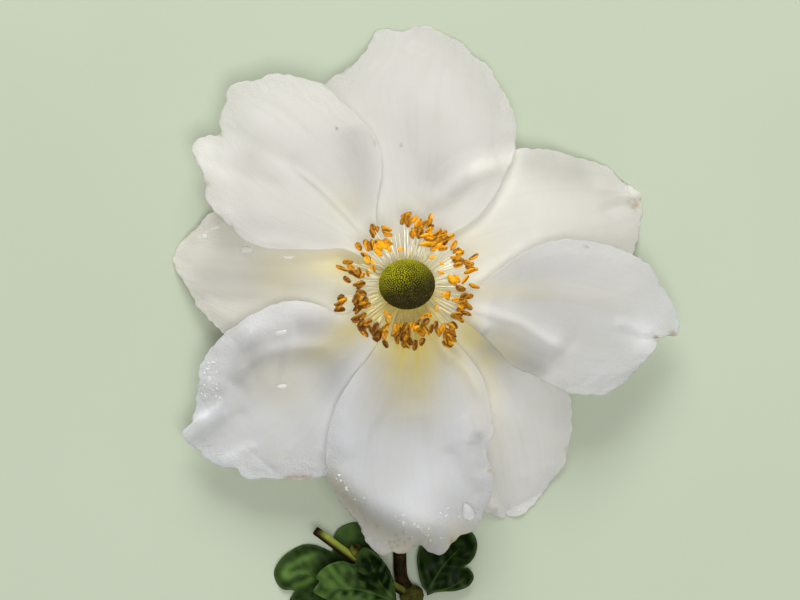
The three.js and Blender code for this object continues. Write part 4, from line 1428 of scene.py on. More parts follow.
# Tufts as they stand round the button
TUFTS = [Tuft(*tuft) for tuft in (
    (-0.3, 8.8, 3, 0.7, 62), (1.5, 8.4, 1, 0.1, 112), (2.9, 8.1, 4, 0.6, 40), (0.7, 6.8, 1, 0.1, 100),
    (1.7, 6.9, 2, 0.4, 110), (3.5, 6.0, 14, 1.2, 30), (5.4, 5.9, 2, 0.5, 45), (6.4, 5.4, 1, 0.1, 55),
    (7.4, 4.4, 2, 0.4, 160), (9.2, 3.8, 1, 0.1, 40), (7.0, 3.2, 3, 0.6, 10), (8.8, 2.6, 3, 0.6, 155),
    (8.6, 1.8, 1, 0.1, 10), (4.7, 3.0, 1, 0.1, 0), (4.8, 1.8, 1, 0.2, 170), (6.4, 0.6, 2, 0.4, 140),
    (8.0, 0.6, 1, 0.1, 20), (7.3, -0.6, 1, 0.1, 170), (9.2, -0.2, 1, 0.1, 165), (5.3, -1.5, 2, 0.4, 80),
    (7.8, -2.0, 4, 0.7, 20), (7.5, -3.2, 3, 0.6, 140), (6.9, -4.4, 3, 0.7, 150), (4.0, -3.1, 1, 0.1, 90),
    (5.9, -5.9, 4, 0.7, 130), (6.1, -7.3, 4, 0.7, 140), (4.3, -5.9, 3, 0.6, 80), (2.7, -4.4, 4, 0.7, 20),
    (2.2, -6.5, 2, 0.5, 110), (2.0, -7.7, 1, 0.1, 60), (0.9, -5.6, 3, 0.6, 60), (0.5, -8.2, 4, 0.8, 100),
    (-0.6, -6.4, 6, 0.8, 80), (-1.4, -7.2, 3, 0.6, 60), (-2.8, -4.5, 3, 0.5, 130),
    (-2.8, -8.1, 1, 0.1, 110), (-3.6, -6.4, 6, 0.9, 60), (-4.3, -7.4, 1, 0.1, 95),
    (-5.8, -6.6, 2, 0.4, 100), (-5.6, -5.3, 4, 0.8, 50), (-6.9, -4.7, 1, 0.1, 10), (-7.0, -3.3, 2, 0.4, 55),
    (-5.9, -2.6, 2, 0.5, 45), (-6.8, -2.1, 2, 0.5, 60), (-9.1, -3.3, 1, 0.1, 12), (-9.0, -2.0, 3, 0.6, 45),
    (-6.2, -1.2, 1, 0.1, 150), (-6.4, -0.1, 2, 0.4, 30), (-8.1, 0.7, 1, 0.1, 172), (-5.6, 1.2, 2, 0.5, 120),
    (-7.0, 1.4, 2, 0.5, 150), (-8.2, 2.4, 3, 0.6, 165), (-5.3, 3.1, 3, 0.6, 140), (-4.4, 2.0, 1, 0.1, 90),
    (-6.6, 5.1, 1, 0.1, 130), (-5.3, 5.4, 3, 0.6, 130), (-3.4, 5.2, 6, 0.8, 150), (-4.6, 7.5, 3, 0.5, 110),
    (-2.7, 7.2, 2, 0.5, 125), (-0.9, 4.5, 1, 0.1, 50),
)]


@dataclass
class Stamens:
    """The ring of stamens: thin threads from under the button, each with a grooved anther.

    Attributes:
        root_radius: How far from the middle the threads start.
        root_z: The lowest and the highest height where they start.
        elbow: How far out they bend upwards.
        elbow_z: The lowest and the highest height where they bend.
        steps: How many rings a thread has.
        sides: How many sides it has.
        thread: A thread's radius at its root and at its tip.
        anther_length: The shortest and the longest anther.
        anther_width: An anther's middle width.
        widths: The least and the most of its width, as shares of that.
        depths: The least and the most of its depth, as shares of its width.
        tilt: How far its heading, pitch and roll scatter, in radians.
        young: How small those next to the button are, least and most, and how far out they stand.
        bare_threads: How many shorter threads stand between, whose anthers are hidden.
        fullness: How many anthers stand for each one counted in a tuft, since some hide others.
        scatter: How far the anthers scatter, as a share of their tuft's spread.
        tries: How many places are tried for an anther; it takes the one with the most room.
        ring: The least and the most that an anther stands from the middle.
        cone: The anthers' height where the threads bend, and how far it falls per millimetre out.
        bare_ring: The least and the most that a bare thread's tip stands from the middle.
        bare_cone: As cone, for the tips of the bare threads.
        seed: The seed of all small differences.
    """

    root_radius: float = 2.9
    root_z: Pair = (12.6, 13.6)
    elbow: float = 4.5
    elbow_z: Pair = (13.5, 14.4)
    steps: int = 9
    sides: int = 6
    thread: Pair = (0.06, 0.045)
    anther_length: Pair = (1.2, 1.65)
    anther_width: float = 0.76
    widths: Pair = (0.82, 1.15)
    depths: Pair = (0.6, 0.8)
    tilt: Triple = (0.35, 0.3, 0.45)
    young: Triple = (0.5, 0.8, 5.7)
    bare_threads: int = 70
    fullness: float = 1.3
    scatter: float = 0.6
    tries: int = 3
    ring: Pair = (4.9, 9.9)
    cone: Pair = (17.3, 0.55)
    bare_ring: Pair = (5.2, 7.5)
    bare_cone: Pair = (15.55, 0.3)
    seed: int = 29

    def anther(self, rng: Dice, small: float, lumps: float) -> tuple[Array, Faces, Array]:
        """One anther along +X at the origin: two pollen sacs with a groove between.

        Args:
            rng: The source of its small differences.
            small: How much smaller than full it is, as a factor.
            lumps: How far it has burst into lumps of pollen, from 0 to 1.

        Returns:
            Its corners, its faces, and how much lighter or darker than its own tone each corner is, by
            painted light and shade and uneven pollen.
        """
        rings, sides = 11, 24
        turn = np.linspace(-math.pi / 2 * 0.97, math.pi / 2 * 0.97, rings)[:, None]
        around = (2 * math.pi * np.arange(sides) / sides)[None]
        length = rng.uniform(*self.anther_length) * small
        width = self.anther_width * rng.uniform(*self.widths) * small
        depth = width * rng.uniform(*self.depths)
        groove = rng.uniform(0.1, 1) * (1 - 0.8 * lumps) * bell((np.abs(np.sin(around)) - 1) / 0.035)
        phase = rng.uniform(0, 2 * math.pi)
        lump = np.sin(3 * around + 2 * turn + phase) * np.cos(4 * turn - phase)
        half = np.cos(turn) ** 0.75 * (1 + 0.12 * np.sin(turn))
        radius = half * (1 - 0.3 * groove) * (1 + (0.05 + 0.25 * lumps) * lump)
        bow = rng.uniform(-0.12, 0.12) * np.sin(turn) ** 2
        x = length / 2 * np.sin(turn) + 0.05 * lumps * lump
        y = width / 2 * radius * np.cos(around) + bow
        corners = np.stack([x, y, depth / 2 * radius * np.sin(around)], axis=-1).reshape(-1, 3)
        # Painted light at its sides, painted shade in the groove and at both ends, with uneven pollen
        shade = 0.16 * np.abs(np.cos(around)) ** 1.5 - 0.4 * groove - 0.25 * np.sin(turn) ** 6
        shade = shade + rng.uniform(-0.2, 0.2) * np.cos(around) + 0.2 * lump
        shade = (shade + 0.12 * np.sin(9 * around + 3 * turn)).ravel()
        return corners, stack_faces(rings, sides), shade

    def build(self) -> list[Piece]:
        """Makes the threads and the anthers as two pieces.

        Returns:
            The threads, then the anthers.
        """
        rng = np.random.default_rng(self.seed)
        threads, anthers = Heap(), Heap()
        places = np.full((1, 2), 99.0)  # a first place that is far from all others
        for tuft in TUFTS:
            for _ in range(round(tuft.count * self.fullness) if tuft.count > 1 else 1):
                away = rng.normal(0, tuft.spread * self.scatter, (self.tries, 2))
                choice = np.array([tuft.x, tuft.y]) + away
                room = np.linalg.norm(choice[:, None] - places[None], axis=2).min(axis=1)
                x, y = choice[room.argmax()]
                places = np.vstack([places, [x, y]])
                reach, angle = np.clip(math.hypot(x, y), *self.ring), math.atan2(y, x)
                tip = self.tip(reach, angle, self.cone, rng.uniform(-0.5, 0.5))
                self.thread_to(threads, rng, tip, angle)
                self.anther_at(anthers, rng, tip, math.radians(tuft.heading))
        for i in range(self.bare_threads):
            angle = 2 * math.pi * (i + rng.uniform(-0.4, 0.4)) / self.bare_threads
            tip = self.tip(rng.uniform(*self.bare_ring), angle, self.bare_cone, rng.uniform(-0.6, 0.2))
            self.thread_to(threads, rng, tip, angle)
        return [threads.piece("filaments"), anthers.piece("anthers")]

    def tip(self, reach: float, angle: float, cone: Pair, rise: float) -> Array:
        """Where a thread ends, this far out and this much above a cone."""
        return polar(reach, angle, cone[0] - cone[1] * (reach - self.elbow) + rise)

    def thread_to(self, heap: Heap, rng: Dice, tip: Array, angle: float) -> None:
        """Adds a thread from the collar to a tip.

        Args:
            heap: The heap that it is added to.
            rng: The source of its small differences.
            tip: Where it ends.
            angle: The way from the middle to the tip, in radians.
        """
        start = angle + rng.uniform(-0.12, 0.12)
        root = polar(self.root_radius, start, rng.uniform(*self.root_z))
        elbow = polar(self.elbow, (angle + start) / 2, rng.uniform(*self.elbow_z))
        line = Track([root, elbow, tip]).at(np.linspace(0, 1, self.steps))
        corners, faces = tube(line, np.linspace(*self.thread, self.steps), self.sides)
        # Paler towards their tips; paler in the flower's upper half as painted light, and darker in its lower
        # half as painted shade
        share = smooth((np.hypot(corners[:, 0], corners[:, 1]) - self.root_radius) / 2.6)
        upper = smooth((tip[1] + 6) / 12)
        tone = (0.16 + 0.36 * upper + (0.24 + 0.4 * upper) * share) * rng.uniform(0.65, 1.15)
        heap.add(corners, faces, tone=np.clip(tone, 0, 1))

    def anther_at(self, heap: Heap, rng: Dice, tip: Array, heading: float) -> None:
        """Adds an anther at a thread's tip, browner on the flower's lower side, partly as painted shade and
        partly as older pollen.

        Args:
            heap: The heap that it is added to.
            rng: The source of its small differences.
            tip: Its middle.
            heading: The way it points, in radians, give or take a little.
        """
        reach = math.hypot(tip[0], tip[1])
        smallest, largest, near = self.young
        small = rng.uniform(smallest, largest) if reach < near else 1.0
        # The inner anthers have burst, most of all on the sunlit side
        sunlit = smooth((tip[1] + 0.35 * tip[0] + 7) / 14)
        inner = smooth((7.4 - reach) / 1.6)
        corners, faces, shade = self.anther(rng, small, float(inner * (0.3 + 0.7 * sunlit)))
        turn, pitch, roll = (rng.normal(*pair) for pair in zip((heading, 0.1, 0), self.tilt))
        for first, second, amount in ((1, 2, roll), (0, 2, pitch), (0, 1, turn)):
            corners[:, first], corners[:, second] = turned(corners[:, first], corners[:, second], amount)
        # Painted light on the flower's sunlit side, golden burst pollen on the inner anthers, and a random
        # spread
        tone = 0.12 + 0.27 * sunlit + 0.3 * inner * (0.4 + 0.6 * sunlit) + rng.uniform(-0.26, 0.22)
        heap.add(corners + tip, faces, tone=np.clip(tone + shade, 0, 1))

    def dress(self, pieces: list[Piece]) -> None:
        """Dresses the threads and the anthers."""
        for piece, finish in zip(pieces, (FILAMENT, POLLEN)):
            place_piece(piece, finish, "stamen", "stamens")


# Stem and leaves

STALK_RADIUS, MAIN_RADIUS, SIDE_RADIUS = 0.85, 1.3, 0.62
NODE_AT = (0.7, -43.9, 1.35)
NODE_SIZE = (1.75, 1.55, 1.3)
BRACT_AT = (-7.1, -37.7, 2.65)
BRACT_SIZE = (1.25, 0.95, 0.45)
BRACT_TURN = math.radians(110)
CUT_Y = -84.0
CUT_RINGS = (0.9, 0.86, 0.4, 0.02)  # rings across a limb's cut end, as shares of its radius
RIDGES = ((0.025, 7, 1), (0.015, 4, 2))  # a limb's ridges as a height, a count and a turn per seed
# The receptacle's radius and height, from its foot up: the cup under the petals, then its pin
RECEPTACLE = [
    (0.05, 6.6), (0.9, 6.7), (1.5, 7.5), (2.45, 8.7), (2.45, 12.0), (1.5, 12.15), (1.5, 13.9), (0.05, 13.9),
]


@dataclass
class Stem:
    """The stem that carries the flower: receptacle, flower stalk, leaf node, side stalk and main stem.

    Attributes:
        sides: How many sides its limbs have.
        sunny: The way to its side with painted light; the far side gets painted shade.
        browned: How far from a cut end it is brown, in millimetres.
    """

    sides: int = 28
    sunny: Place = (0.38, 0.6, 0.25)
    browned: float = 1.1

    def limb(
        self, name: str, points: Sequence[Place], radii: Points, steps: int, seed: int, pale: float,
        cut: float = 0.0,
    ) -> Piece:
        """One limb with fine lengthwise ridges, with painted light on its upper side and painted shade
        underneath.

        Args:
            name: The piece's name.
            points: The points that its middle goes through.
            radii: Stations of its radius, from share 0 to 1 of its length.
            steps: How many rings it has.
            seed: The seed of its unevenness.
            pale: How pale a green its upper side is, painted lighter as if lit, from 0 to 1.
            cut: How pale its cut end is, from 0 for dried to 1 for fresh.

        Returns:
            The limb.
        """
        share = np.append(np.linspace(0, 1, steps), [1.0] * len(CUT_RINGS))
        line = Track(points).at(share)
        line[steps:] += (line[steps - 1] - line[steps - 2]) * 1e-3 * np.arange(1, len(CUT_RINGS) + 1)[:, None]
        turn = 2 * math.pi * np.arange(self.sides) / self.sides
        radius = stations(radii, share)[:, None]
        ridges = 1 + sum(height * np.cos(n * turn + k * seed) for height, n, k in RIDGES)[None]
        uneven = 1 + 0.02 * Ripples(seed, 5.0).at(share[:, None] * 40, turn[None] * 1.5)
        inward = np.append(np.ones(steps), CUT_RINGS)[:, None]
        corners, faces = tube(line, radius * ridges * uneven * inward, self.sides)
        out = (corners - np.repeat(line, self.sides, axis=0)) / np.repeat(radius, self.sides)[:, None]
        # Painted light on the side that faces sunny and painted shade on the far side, in random patches,
        # brown by the cut
        facing = 0.25 + out @ self.sunny
        patches = 1 + 0.35 * Ripples(seed + 1, 7.0).at(corners[:, 1], corners[:, 0])
        from_cut = np.linalg.norm(corners - line[-1], axis=1) - radius[-1, 0]
        tone = pale * smooth(facing) * patches * (1 - bell(np.maximum(from_cut, 0) / self.browned))
        tone[(steps + 1) * self.sides :] = cut
        corners[:, 2] = np.maximum(corners[:, 2], TABLE_GAP)
        return mesh_piece(name, corners, faces, {"tone": np.clip(tone, 0, 1)})

    def receptacle(self) -> Piece:
        """The cup that the petals grow from, with the pin that carries the carpels.

        Returns:
            The cup.
        """
        radii, heights = np.array(RECEPTACLE).T
        line = np.stack([0 * heights, 0 * heights, heights + 1e-4 * np.arange(len(heights))], axis=-1)
        corners, faces = tube(line, radii, self.sides)
        return mesh_piece("receptacle", corners, faces, {"tone": np.full(len(corners), 0.7)})

    def swelling(self, name: str, at: Place, size: Place, turn: float, seed: int, pale: float) -> Piece:
        """A rounded swelling with shallow wrinkles.

        Args:
            name: The piece's name.
            at: Its middle.
            size: Its half lengths.
            turn: How far it is turned about the vertical, in radians.
            seed: The seed of its wrinkles.
            pale: How pale a green it is, from 0 to 1.

        Returns:
            The swelling.
        """
        rings, sides = 36, 48
        low = np.linspace(-math.pi / 2 * 0.98, math.pi / 2 * 0.98, rings)[:, None]
        around = np.linspace(0, 2 * math.pi, sides, endpoint=False)[None]
        wrinkle = 1 + 0.03 * Ripples(seed, 0.7).at(np.cos(around) * 1.5, np.sin(around) * 1.5 + low)
        x = size[0] * np.cos(low) * np.cos(around) * wrinkle
        y = size[1] * np.cos(low) * np.sin(around) * wrinkle
        ball = np.stack([*turned(x, y, turn), size[2] * np.sin(low) * wrinkle], axis=-1)
        corners = ball.reshape(-1, 3) + np.array(at)
        corners[:, 2] = np.maximum(corners[:, 2], TABLE_GAP)
        tone = np.clip(pale * (1 + 0.8 * Ripples(seed + 1, 1.5).at(corners[:, 0], corners[:, 1])), 0, 1)
        return mesh_piece(name, corners, stack_faces(rings, sides), {"tone": tone})

    def build(self) -> list[Piece]:
        """Makes the receptacle, the limbs, the leaf node and the bract.

        Returns:
            The pieces.
        """
        x, y, z = NODE_AT
        # The flower stalk's pale of 0.03 makes it nearly black: painted shade of the petals above it
        stalk = self.limb(
            "flower_stalk",
            [(0, 0, 7.2), (0, -0.8, 6.0), (-0.05, -3.2, 4.4), (-0.2, -7.5, 2.9), (-0.4, -14, 1.6),
             (-0.6, -22, 0.95), (-0.85, -32, STALK_RADIUS), (-0.95, -38, STALK_RADIUS), (-0.7, -41.5, 1.0),
             (x - 0.2, y + 0.4, z)],
            [(0, STALK_RADIUS), (1, STALK_RADIUS * 1.1)],
            170, 31, 0.03,
        )
        main = self.limb(
            "main_stem",
            [(x, y + 0.6, z), (x + 0.3, y - 8, MAIN_RADIUS), (x + 0.3, y - 20, MAIN_RADIUS),
             (x - 0.2, y - 32, MAIN_RADIUS), (x - 0.6, CUT_Y, MAIN_RADIUS)],
            [(0, MAIN_RADIUS), (1, MAIN_RADIUS)],
            110, 37, 0.2, cut=0.9,
        )
        side = self.limb(
            "side_stalk",
            [(x - 0.4, y + 0.2, 1.6), (-3, -41.7, 2.2), (-7.9, -38.2, 2.4), (-12.9, -34.5, 2.9)],
            [(0, SIDE_RADIUS), (0.96, SIDE_RADIUS), (1, SIDE_RADIUS * 0.88)],
            60, 41, 0.95, cut=0.05,
        )
        node = self.swelling("leaf_node", NODE_AT, NODE_SIZE, 0.0, 61, 0.08)
        bract = self.swelling("bract", BRACT_AT, BRACT_SIZE, BRACT_TURN, 67, 0.2)
        return [self.receptacle(), stalk, main, side, node, bract]

    def dress(self, pieces: list[Piece]) -> None:
        """Dresses the limbs in the stem's skin, and the receptacle in its flesh."""
        for piece in pieces:
            place_piece(piece, RECEPTACLE_FLESH if piece.name == "receptacle" else STEM_SKIN, "stem", "stem")


VEIN_PITCH = 1.5  # from one side vein of a leaf to the next
VEIN_SLANT = 0.8  # how far a side vein runs towards the tip for each millimetre aside
VEIN_WIDTH = 0.09  # a side vein's half width, as a share of the pitch
VEIN_REACH = 4.0  # how far aside it runs
RIB_WIDTH = 0.24  # a main vein's half width at its root
RIB_BOW = 0.07  # how far it bows aside, as a share of its length


@dataclass
class Leaf:
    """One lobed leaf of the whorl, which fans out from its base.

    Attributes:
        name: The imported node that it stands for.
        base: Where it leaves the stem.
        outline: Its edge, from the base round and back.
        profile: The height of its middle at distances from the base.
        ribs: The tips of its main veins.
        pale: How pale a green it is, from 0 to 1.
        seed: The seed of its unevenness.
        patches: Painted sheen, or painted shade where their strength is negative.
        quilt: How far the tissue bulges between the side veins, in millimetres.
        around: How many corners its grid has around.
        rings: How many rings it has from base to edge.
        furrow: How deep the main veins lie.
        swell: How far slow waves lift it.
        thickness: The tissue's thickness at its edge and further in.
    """

    name: str
    base: Pair
    outline: Points
    profile: Points
    ribs: Points
    pale: float
    seed: int
    patches: Sequence[Mark] = ()
    quilt: float = 0.05
    around: int = 200
    rings: int = 46
    furrow: float = 0.35
    swell: float = 0.22
    thickness: Pair = (0.16, 0.3)

    def build(self) -> Piece:
        """Makes the leaf with its veins sunk and the tissue quilted between them.

        Returns:
            The leaf.
        """
        edge = Track(self.outline).at(np.linspace(0, 1, self.around))
        if np.sum(edge[:-1, 0] * edge[1:, 1] - edge[1:, 0] * edge[:-1, 1]) > 0:
            edge = edge[::-1]
        t = (np.linspace(0.005, 1, self.rings) ** 0.8)[:, None, None]
        flat = (1 - t) * np.array(self.base) + t * edge[None]
        x, y = flat[..., 0], flat[..., 1]
        reach = np.hypot(x - self.base[0], y - self.base[1])
        nearest, vein = np.full(x.shape, np.inf), np.zeros(x.shape)
        row_of, share = np.zeros(x.shape), np.zeros(x.shape)
        for i, tip in enumerate(self.ribs):
            (ax, ay), (bx, by) = self.base, tip
            bow = RIB_BOW * (-1) ** i
            bend = ((ax + bx) / 2 - bow * (by - ay), (ay + by) / 2 + bow * (bx - ax))
            rib = Track([self.base, bend, tip]).at(np.linspace(0, 1, 9))
            distance, along = from_line(rib.tolist(), x, y)
            length = math.dist(self.base, tip)
            row = (along * length - VEIN_SLANT * distance) / VEIN_PITCH
            side = bell((row - np.round(row)) / VEIN_WIDTH) * smooth(distance / 0.5)
            side = side * (1 - smooth(distance / VEIN_REACH))
            pairs = ((side, vein), (row, row_of), (along, share))
            vein, row_of, share = (np.where(distance < nearest, *pair) for pair in pairs)
            nearest = np.minimum(nearest, distance)
        taper = 1 - 0.85 * share
        free, between = smooth(reach / 3), smooth(nearest / 0.8)  # beyond the base, and beside the ribs
        quilt = 0.5 + 0.5 * np.cos(2 * math.pi * (row_of - np.round(row_of)))
        wrinkle = Ripples(self.seed + 9, 1.6).at(x, y)
        z = stations(self.profile, reach) - self.furrow * taper * bell(nearest / 0.9) * free
        z = z - 0.4 * self.quilt * vein + self.quilt * quilt * between
        z = z + (self.swell * Ripples(self.seed, 4.5).at(x, y) + 0.5 * self.quilt * wrinkle) * free
        margin = np.maximum(-from_outline(self.outline, x, y), 0)
        low, high = self.thickness
        thick = low + (high - low) * smooth(margin / 1.5)
        main = bell(nearest / (RIB_WIDTH * taper)) * smooth(reach / 1.5)
        # Paler veins and edges; painted light where the quilting and the wrinkles stand up and painted shade
        # in their furrows; then patches of painted sheen and painted shade
        tone = self.pale + 0.11 * np.maximum(main, 0.3 * vein) + 0.1 * bell(margin / 0.2)
        tone = tone + self.quilt * (0.5 * (quilt - 0.5) * between + 0.4 * wrinkle)
        for patch in self.patches:
            tone = tone + patch.at(x, y)
        return blade_piece(self.name + "_tissue", (x, y, z), thick, {"tone": np.clip(tone, 0, 1)})

    def dress(self, piece: Piece) -> None:
        """Dresses the leaf in dark green."""
        place_piece(piece, LEAF_SKIN, "leaf", self.name)


# The three leaves of the whorl under the flower
LEAVES = [
    Leaf(
        "leaf_right", (2.9, -43.6),
        [(2.9, -43.4), (2.2, -42.4), (1.7, -40.4), (1.6, -38), (2.5, -36.2), (5, -35.4), (7.9, -34.8),
         (9.3, -35.2), (9.9, -36.6), (9.6, -38.2), (8.9, -39.2), (8, -39.9), (8.8, -40.2), (9.4, -41.2),
         (8.8, -42.4), (6.9, -43.1), (4.6, -43.2), (2.9, -43.8)],
        [(0, 1.3), (4, 1.7), (9, 0.7)], [(7.6, -37.2), (8.3, -41.4)], 0.02, 43,
    ),
    Leaf(
        "leaf_front_left", (-1.5, -44.6),
        [(-1.5, -44.3), (-1.8, -42.2), (-2.5, -40), (-3.5, -38.6), (-4.7, -37.4), (-6.1, -36.9),
         (-6.9, -38), (-7.3, -39.2), (-9.1, -38.8), (-10.7, -39.2), (-12, -40.1), (-12.7, -41.2),
         (-12.2, -41.6), (-12.9, -42.6), (-13.1, -43.2), (-12, -43.8), (-11, -44.4), (-11.4, -45.8),
         (-10.4, -47.6), (-8.6, -48.9), (-6.6, -49), (-5.6, -48.2), (-3.6, -47.2), (-1.5, -44.9)],
        [(0, 2.9), (2.5, 3.8), (6, 4.3), (12, 3.4)],
        [(-5.2, -38.6), (-11.4, -42.4), (-8.4, -47.2)], 0.09, 47,
        [Spot(-10.6, -41.2, 2.4, 0.2), Spot(-6.5, -45.8, 2, 0.2), Spot(-4.4, -40.6, 2.6, -0.14)],
        quilt=0.15,
    ),
    Leaf(
        "leaf_back_left", (-1.6, -45.2),
        [(-1.6, -44.9), (-3, -41), (-4.5, -37.5), (-5.6, -34.8), (-6.9, -33.7), (-8.4, -33.9),
         (-9.8, -34.8), (-10.4, -36.2), (-10.5, -37.8), (-11.6, -37.4), (-12.9, -36.9), (-14.5, -36.8),
         (-16.3, -37.6), (-17.9, -39), (-18.7, -40.6), (-18.4, -42), (-17.5, -43), (-15.8, -43.2),
         (-16.5, -44.6), (-16.6, -46.4), (-15.2, -48.2), (-12.8, -49.4), (-10.4, -49.6), (-6.2, -48.2),
         (-3.2, -46.6), (-1.6, -45.5)],
        [(0, 0.75), (8, 0.5), (17, 0.35)], [(-7.9, -36.4), (-16.6, -40.6), (-13.2, -47.2)], 0.06, 53,
        [
            Fold(0.3, 0.5, [(-17.8, -41.8), (-16.7, -39.9), (-14.8, -38.8), (-12.4, -38)]),
            Fold(0.26, 0.4, [(-17.3, -41.7), (-15.4, -40.7), (-13.3, -40.5)]),
            Fold(0.22, 0.4, [(-16.4, -42.9), (-14.6, -42.2), (-13, -41.4)]),
            Spot(-17.3, -40.4, 1.2, 0.15), Spot(-8.3, -35.3, 1.7, 0.2), Spot(-13.7, -39.4, 1, 0.12),
        ],
    ),
]


@dataclass(frozen=True)
class Drop:
    """A drop of dew at x, y on a petal: its half length and half width, and its turn in degrees."""

    petal: str
    x: float
    y: float
    long: float
    wide: float
    turn: float = 0.0


DROPS = [
    Drop("petal_bottom", 8.5, -31.4, 1.35, 0.95, 115), Drop("petal_lower_left", -17.4, -6.7, 0.9, 0.35, 8),
    Drop("petal_lower_left", -17.3, -14.1, 0.75, 0.3, 3), Drop("petal_left", -22.4, 4.9, 0.95, 0.45, 5),
    Drop("petal_left", -16.4, 3.8, 0.8, 0.3, 3), Drop("petal_left", -27, 8, 0.7, 0.35, 10),
    Drop("petal_left", -28.4, 6.9, 0.4, 0.3, 0),
]
# Where the finest dew has gathered on a petal
MISTS = {
    "petal_bottom": [(-9.3, -27.4), (-5.2, -30.2), (-1.5, -32.2), (1.8, -33.9), (4.9, -34.2), (6.6, -30.5)],
    "petal_lower_left": [(-27.6, -10.8), (-28.2, -15.5), (-24.5, -12.5)],
}


@dataclass
class Dew:
    """The drops of dew that lie on the petals.

    Attributes:
        mist: How many fine beads each mist has.
        bead: The least and the largest half width of a bead.
        stretch: How many times longer than wide a bead is at most.
        spread: How far the beads scatter from the mist's line.
        inside: How far they keep from the petal's outline.
        seed: The seed of the beads' places and sizes.
        rings: How many rings the upper half of a drop has.
        around: How many corners each ring has.
        sunk: How far a drop reaches into the petal.
        height: How high it stands, as a share of its half width.
        glint: Where its bright edge lies, and how wide, as shares of the way out.
        sparkle: How strong the painted glint of the smallest beads is all over, from 0 to 1.
    """

    mist: int = 55
    bead: Pair = (0.06, 0.17)
    stretch: float = 1.6
    spread: float = 0.8
    inside: float = 0.5
    seed: int = 83
    rings: int = 9
    around: int = 24
    sunk: float = 0.06
    height: float = 0.55
    glint: Pair = (0.72, 0.2)
    sparkle: float = 0.65

    def beads(self) -> list[Drop]:
        """The fine beads of every mist, scattered along its line and well inside the petal.

        Returns:
            The beads.
        """
        rng = np.random.default_rng(self.seed)
        beads = []
        for name, line in MISTS.items():
            places = Track(line).at(rng.uniform(0, 1, self.mist)) + rng.normal(0, self.spread, (self.mist, 2))
            for x, y in places[from_outline(BY_NAME[name].outline(), *places.T) < -self.inside]:
                radius = rng.uniform(*self.bead)
                length = radius * rng.uniform(1, self.stretch)
                beads.append(Drop(name, x, y, length, radius, rng.uniform(-30, 30)))
        return beads

    def build(self) -> Piece:
        """Makes the drops as low closed caps that follow the petal under them.

        Returns:
            The drops, as one piece.
        """
        faces = [face[::-1] for face in stack_faces(2 * self.rings, self.around)]
        heap = Heap()
        angle = np.linspace(0, 2 * math.pi, self.around, endpoint=False)[None]
        share = np.append(np.linspace(0.02, 1, self.rings), np.linspace(0.96, 0.02, self.rings))[:, None]
        upper = (np.arange(2 * self.rings) < self.rings)[:, None]
        for drop in [*DROPS, *self.beads()]:
            petal = BY_NAME[drop.petal]
            turn = math.radians(drop.turn)
            wobble = 1 + 0.07 * np.cos(2 * angle + 3 * drop.x) + 0.05 * np.cos(3 * angle + 3 * drop.y)
            a = drop.long * wobble * share * np.cos(angle)
            b = drop.wide * wobble * share * np.sin(angle)
            x, y = turned(a, b, turn)
            x, y = drop.x + x, drop.y + y
            rise = self.height * drop.wide * np.sqrt(np.clip(1 - share**2, 0, 1))
            z = petal.height(x, y) + petal.thickness[1] / 2 + np.where(upper, rise, -self.sunk)
            corners = np.stack([x, y, z], axis=-1).reshape(-1, 3)
            toward = np.sin(angle + turn) * np.ones(x.shape)  # 1 on the light's side, -1 on the far side
            large = smooth((drop.wide - 0.2) / 0.4)
            rim = large * share**5 * smooth(0.6 + 0.7 * toward)
            out, wide = self.glint
            glint = bell((share - out) / wide) * smooth((-toward - 0.35) / 0.4)
            glint = np.maximum(glint, self.sparkle * (1 - large))
            heap.add(corners, faces, rim=rim.ravel(), glint=glint.ravel())
        return heap.piece("dew_drops")

    def dress(self, piece: Piece) -> None:
        """Dresses the drops in water."""
        place_piece(piece, WATER, "petal")


# The studio


@dataclass(frozen=True)
class SoftBox:
    """A square soft lamp that faces the flower.

    Attributes:
        name: The lamp's name.
        place: Where it hangs, in millimetres.
        size: The length of its sides.
        watts: Its power.
    """

    name: str
    place: Place
    size: float
    watts: float

    def build(self, aim: float) -> None:
        """Makes the lamp.

        Args:
            aim: The place along y that it faces, in millimetres.
        """
        data = bpy.data.lights.new(self.name, "AREA")
        data.shape, data.size, data.energy = "SQUARE", self.size * MM, self.watts
        lamp = add_object(self.name, data)
        lamp.location = [c * MM for c in self.place]
        x, y, z = self.place
        y -= aim
        lamp.rotation_euler = (math.atan2(math.hypot(x, y), z), 0.0, math.atan2(y, x) + math.pi / 2)


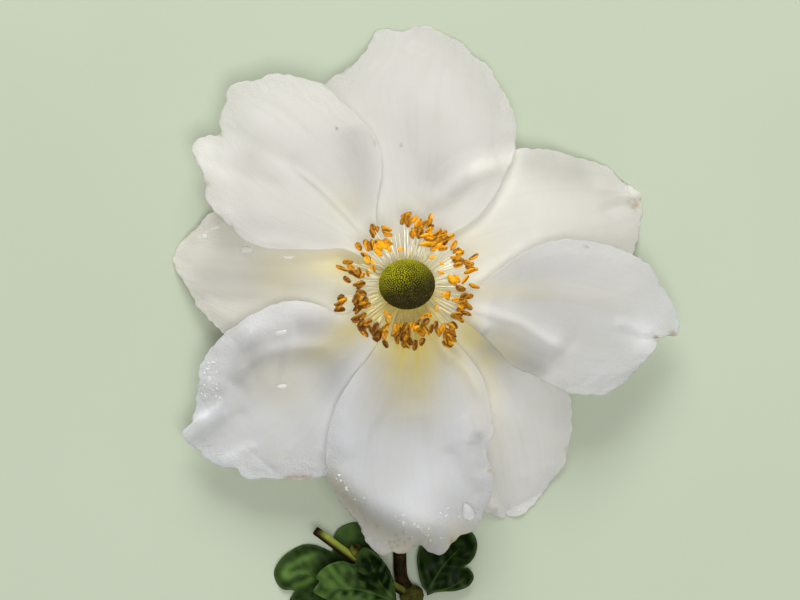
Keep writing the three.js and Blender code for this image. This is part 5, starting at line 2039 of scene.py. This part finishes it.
@dataclass
class Studio:
    """A pale table, soft light from above the flower's top, and a camera that looks straight down.

    Attributes:
        table: The length of the table's sides, in millimetres.
        camera_height: How high the camera hangs.
        lens: Its focal length on a full frame.
        aim: The place under it.
        key: The large lamp beyond the flower's top.
        fill: The smaller one near the camera.
        room: The colour of the light from all around.
        sky: Its strength.
        heart: The power of the narrow lamp over the stamens, in watts.
        heart_height: How high that one hangs.
        heart_reach: How far its light reaches round the flower's middle.
        heart_size: The radius of its soft source.
    """

    table: float = 4000.0
    camera_height: float = 425.0
    lens: float = 135.0
    aim: Pair = (-3.45, 21.5)
    key: SoftBox = SoftBox("key_light", (-20.0, 560.0, 430.0), 380.0, 4.15)
    fill: SoftBox = SoftBox("fill_light", (60.0, -110.0, 620.0), 260.0, 2.18)
    room: str = "#F4F1F5"
    sky: float = 0.515
    heart: float = 15.0
    heart_height: float = 600.0
    heart_reach: float = 14.0
    heart_size: float = 20.0

    def build(self) -> None:
        """Makes the table, the lights and the camera."""
        bpy.ops.mesh.primitive_grid_add(x_subdivisions=8, y_subdivisions=8, size=self.table * MM)
        table = bpy.context.object
        table.name = "table"
        table.data.materials.append(TABLE.material())
        self.key.build(self.aim[1])
        self.fill.build(self.aim[1])
        self.heart_light()
        world = bpy.data.worlds.new("soft_room")
        world.use_nodes = True
        background = world.node_tree.nodes["Background"].inputs
        background["Color"].default_value = linear(self.room)
        background["Strength"].default_value = self.sky
        bpy.context.scene.world = world
        camera = add_object("camera", bpy.data.cameras.new("camera"))
        camera.data.lens = self.lens
        camera.data.sensor_width = 36.0
        camera.data.clip_start = 0.05
        camera.location = (self.aim[0] * MM, self.aim[1] * MM, self.camera_height * MM)
        bpy.context.scene.camera = camera
        bpy.context.scene.view_settings.view_transform = "Standard"
        log.info("studio: camera %.0f mm above the table", self.camera_height)

    def heart_light(self) -> None:
        """Adds a narrow soft-edged lamp straight above the flower's heart, which the stamens shade."""
        data = bpy.data.lights.new("heart_light", "SPOT")
        data.spot_size, data.spot_blend = 2 * math.atan(self.heart_reach / self.heart_height), 1.0
        data.shadow_soft_size, data.energy = self.heart_size * MM, self.heart
        x, y, _ = flower_middle()
        add_object("heart_light", data).location = (x * MM, y * MM, self.heart_height * MM)


def main() -> None:
    """Builds the flower round the frame, then the studio."""
    logging.basicConfig(level=logging.INFO, format="%(name)s: %(message)s")
    for default in list(bpy.data.objects):
        bpy.data.objects.remove(default)
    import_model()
    for part in (*PETALS, Dew(), CarpelButton(), Stamens(), Stem(), *LEAVES):
        part.dress(part.build())
    Studio().build()
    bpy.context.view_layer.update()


if __name__ == "__main__":
    main()
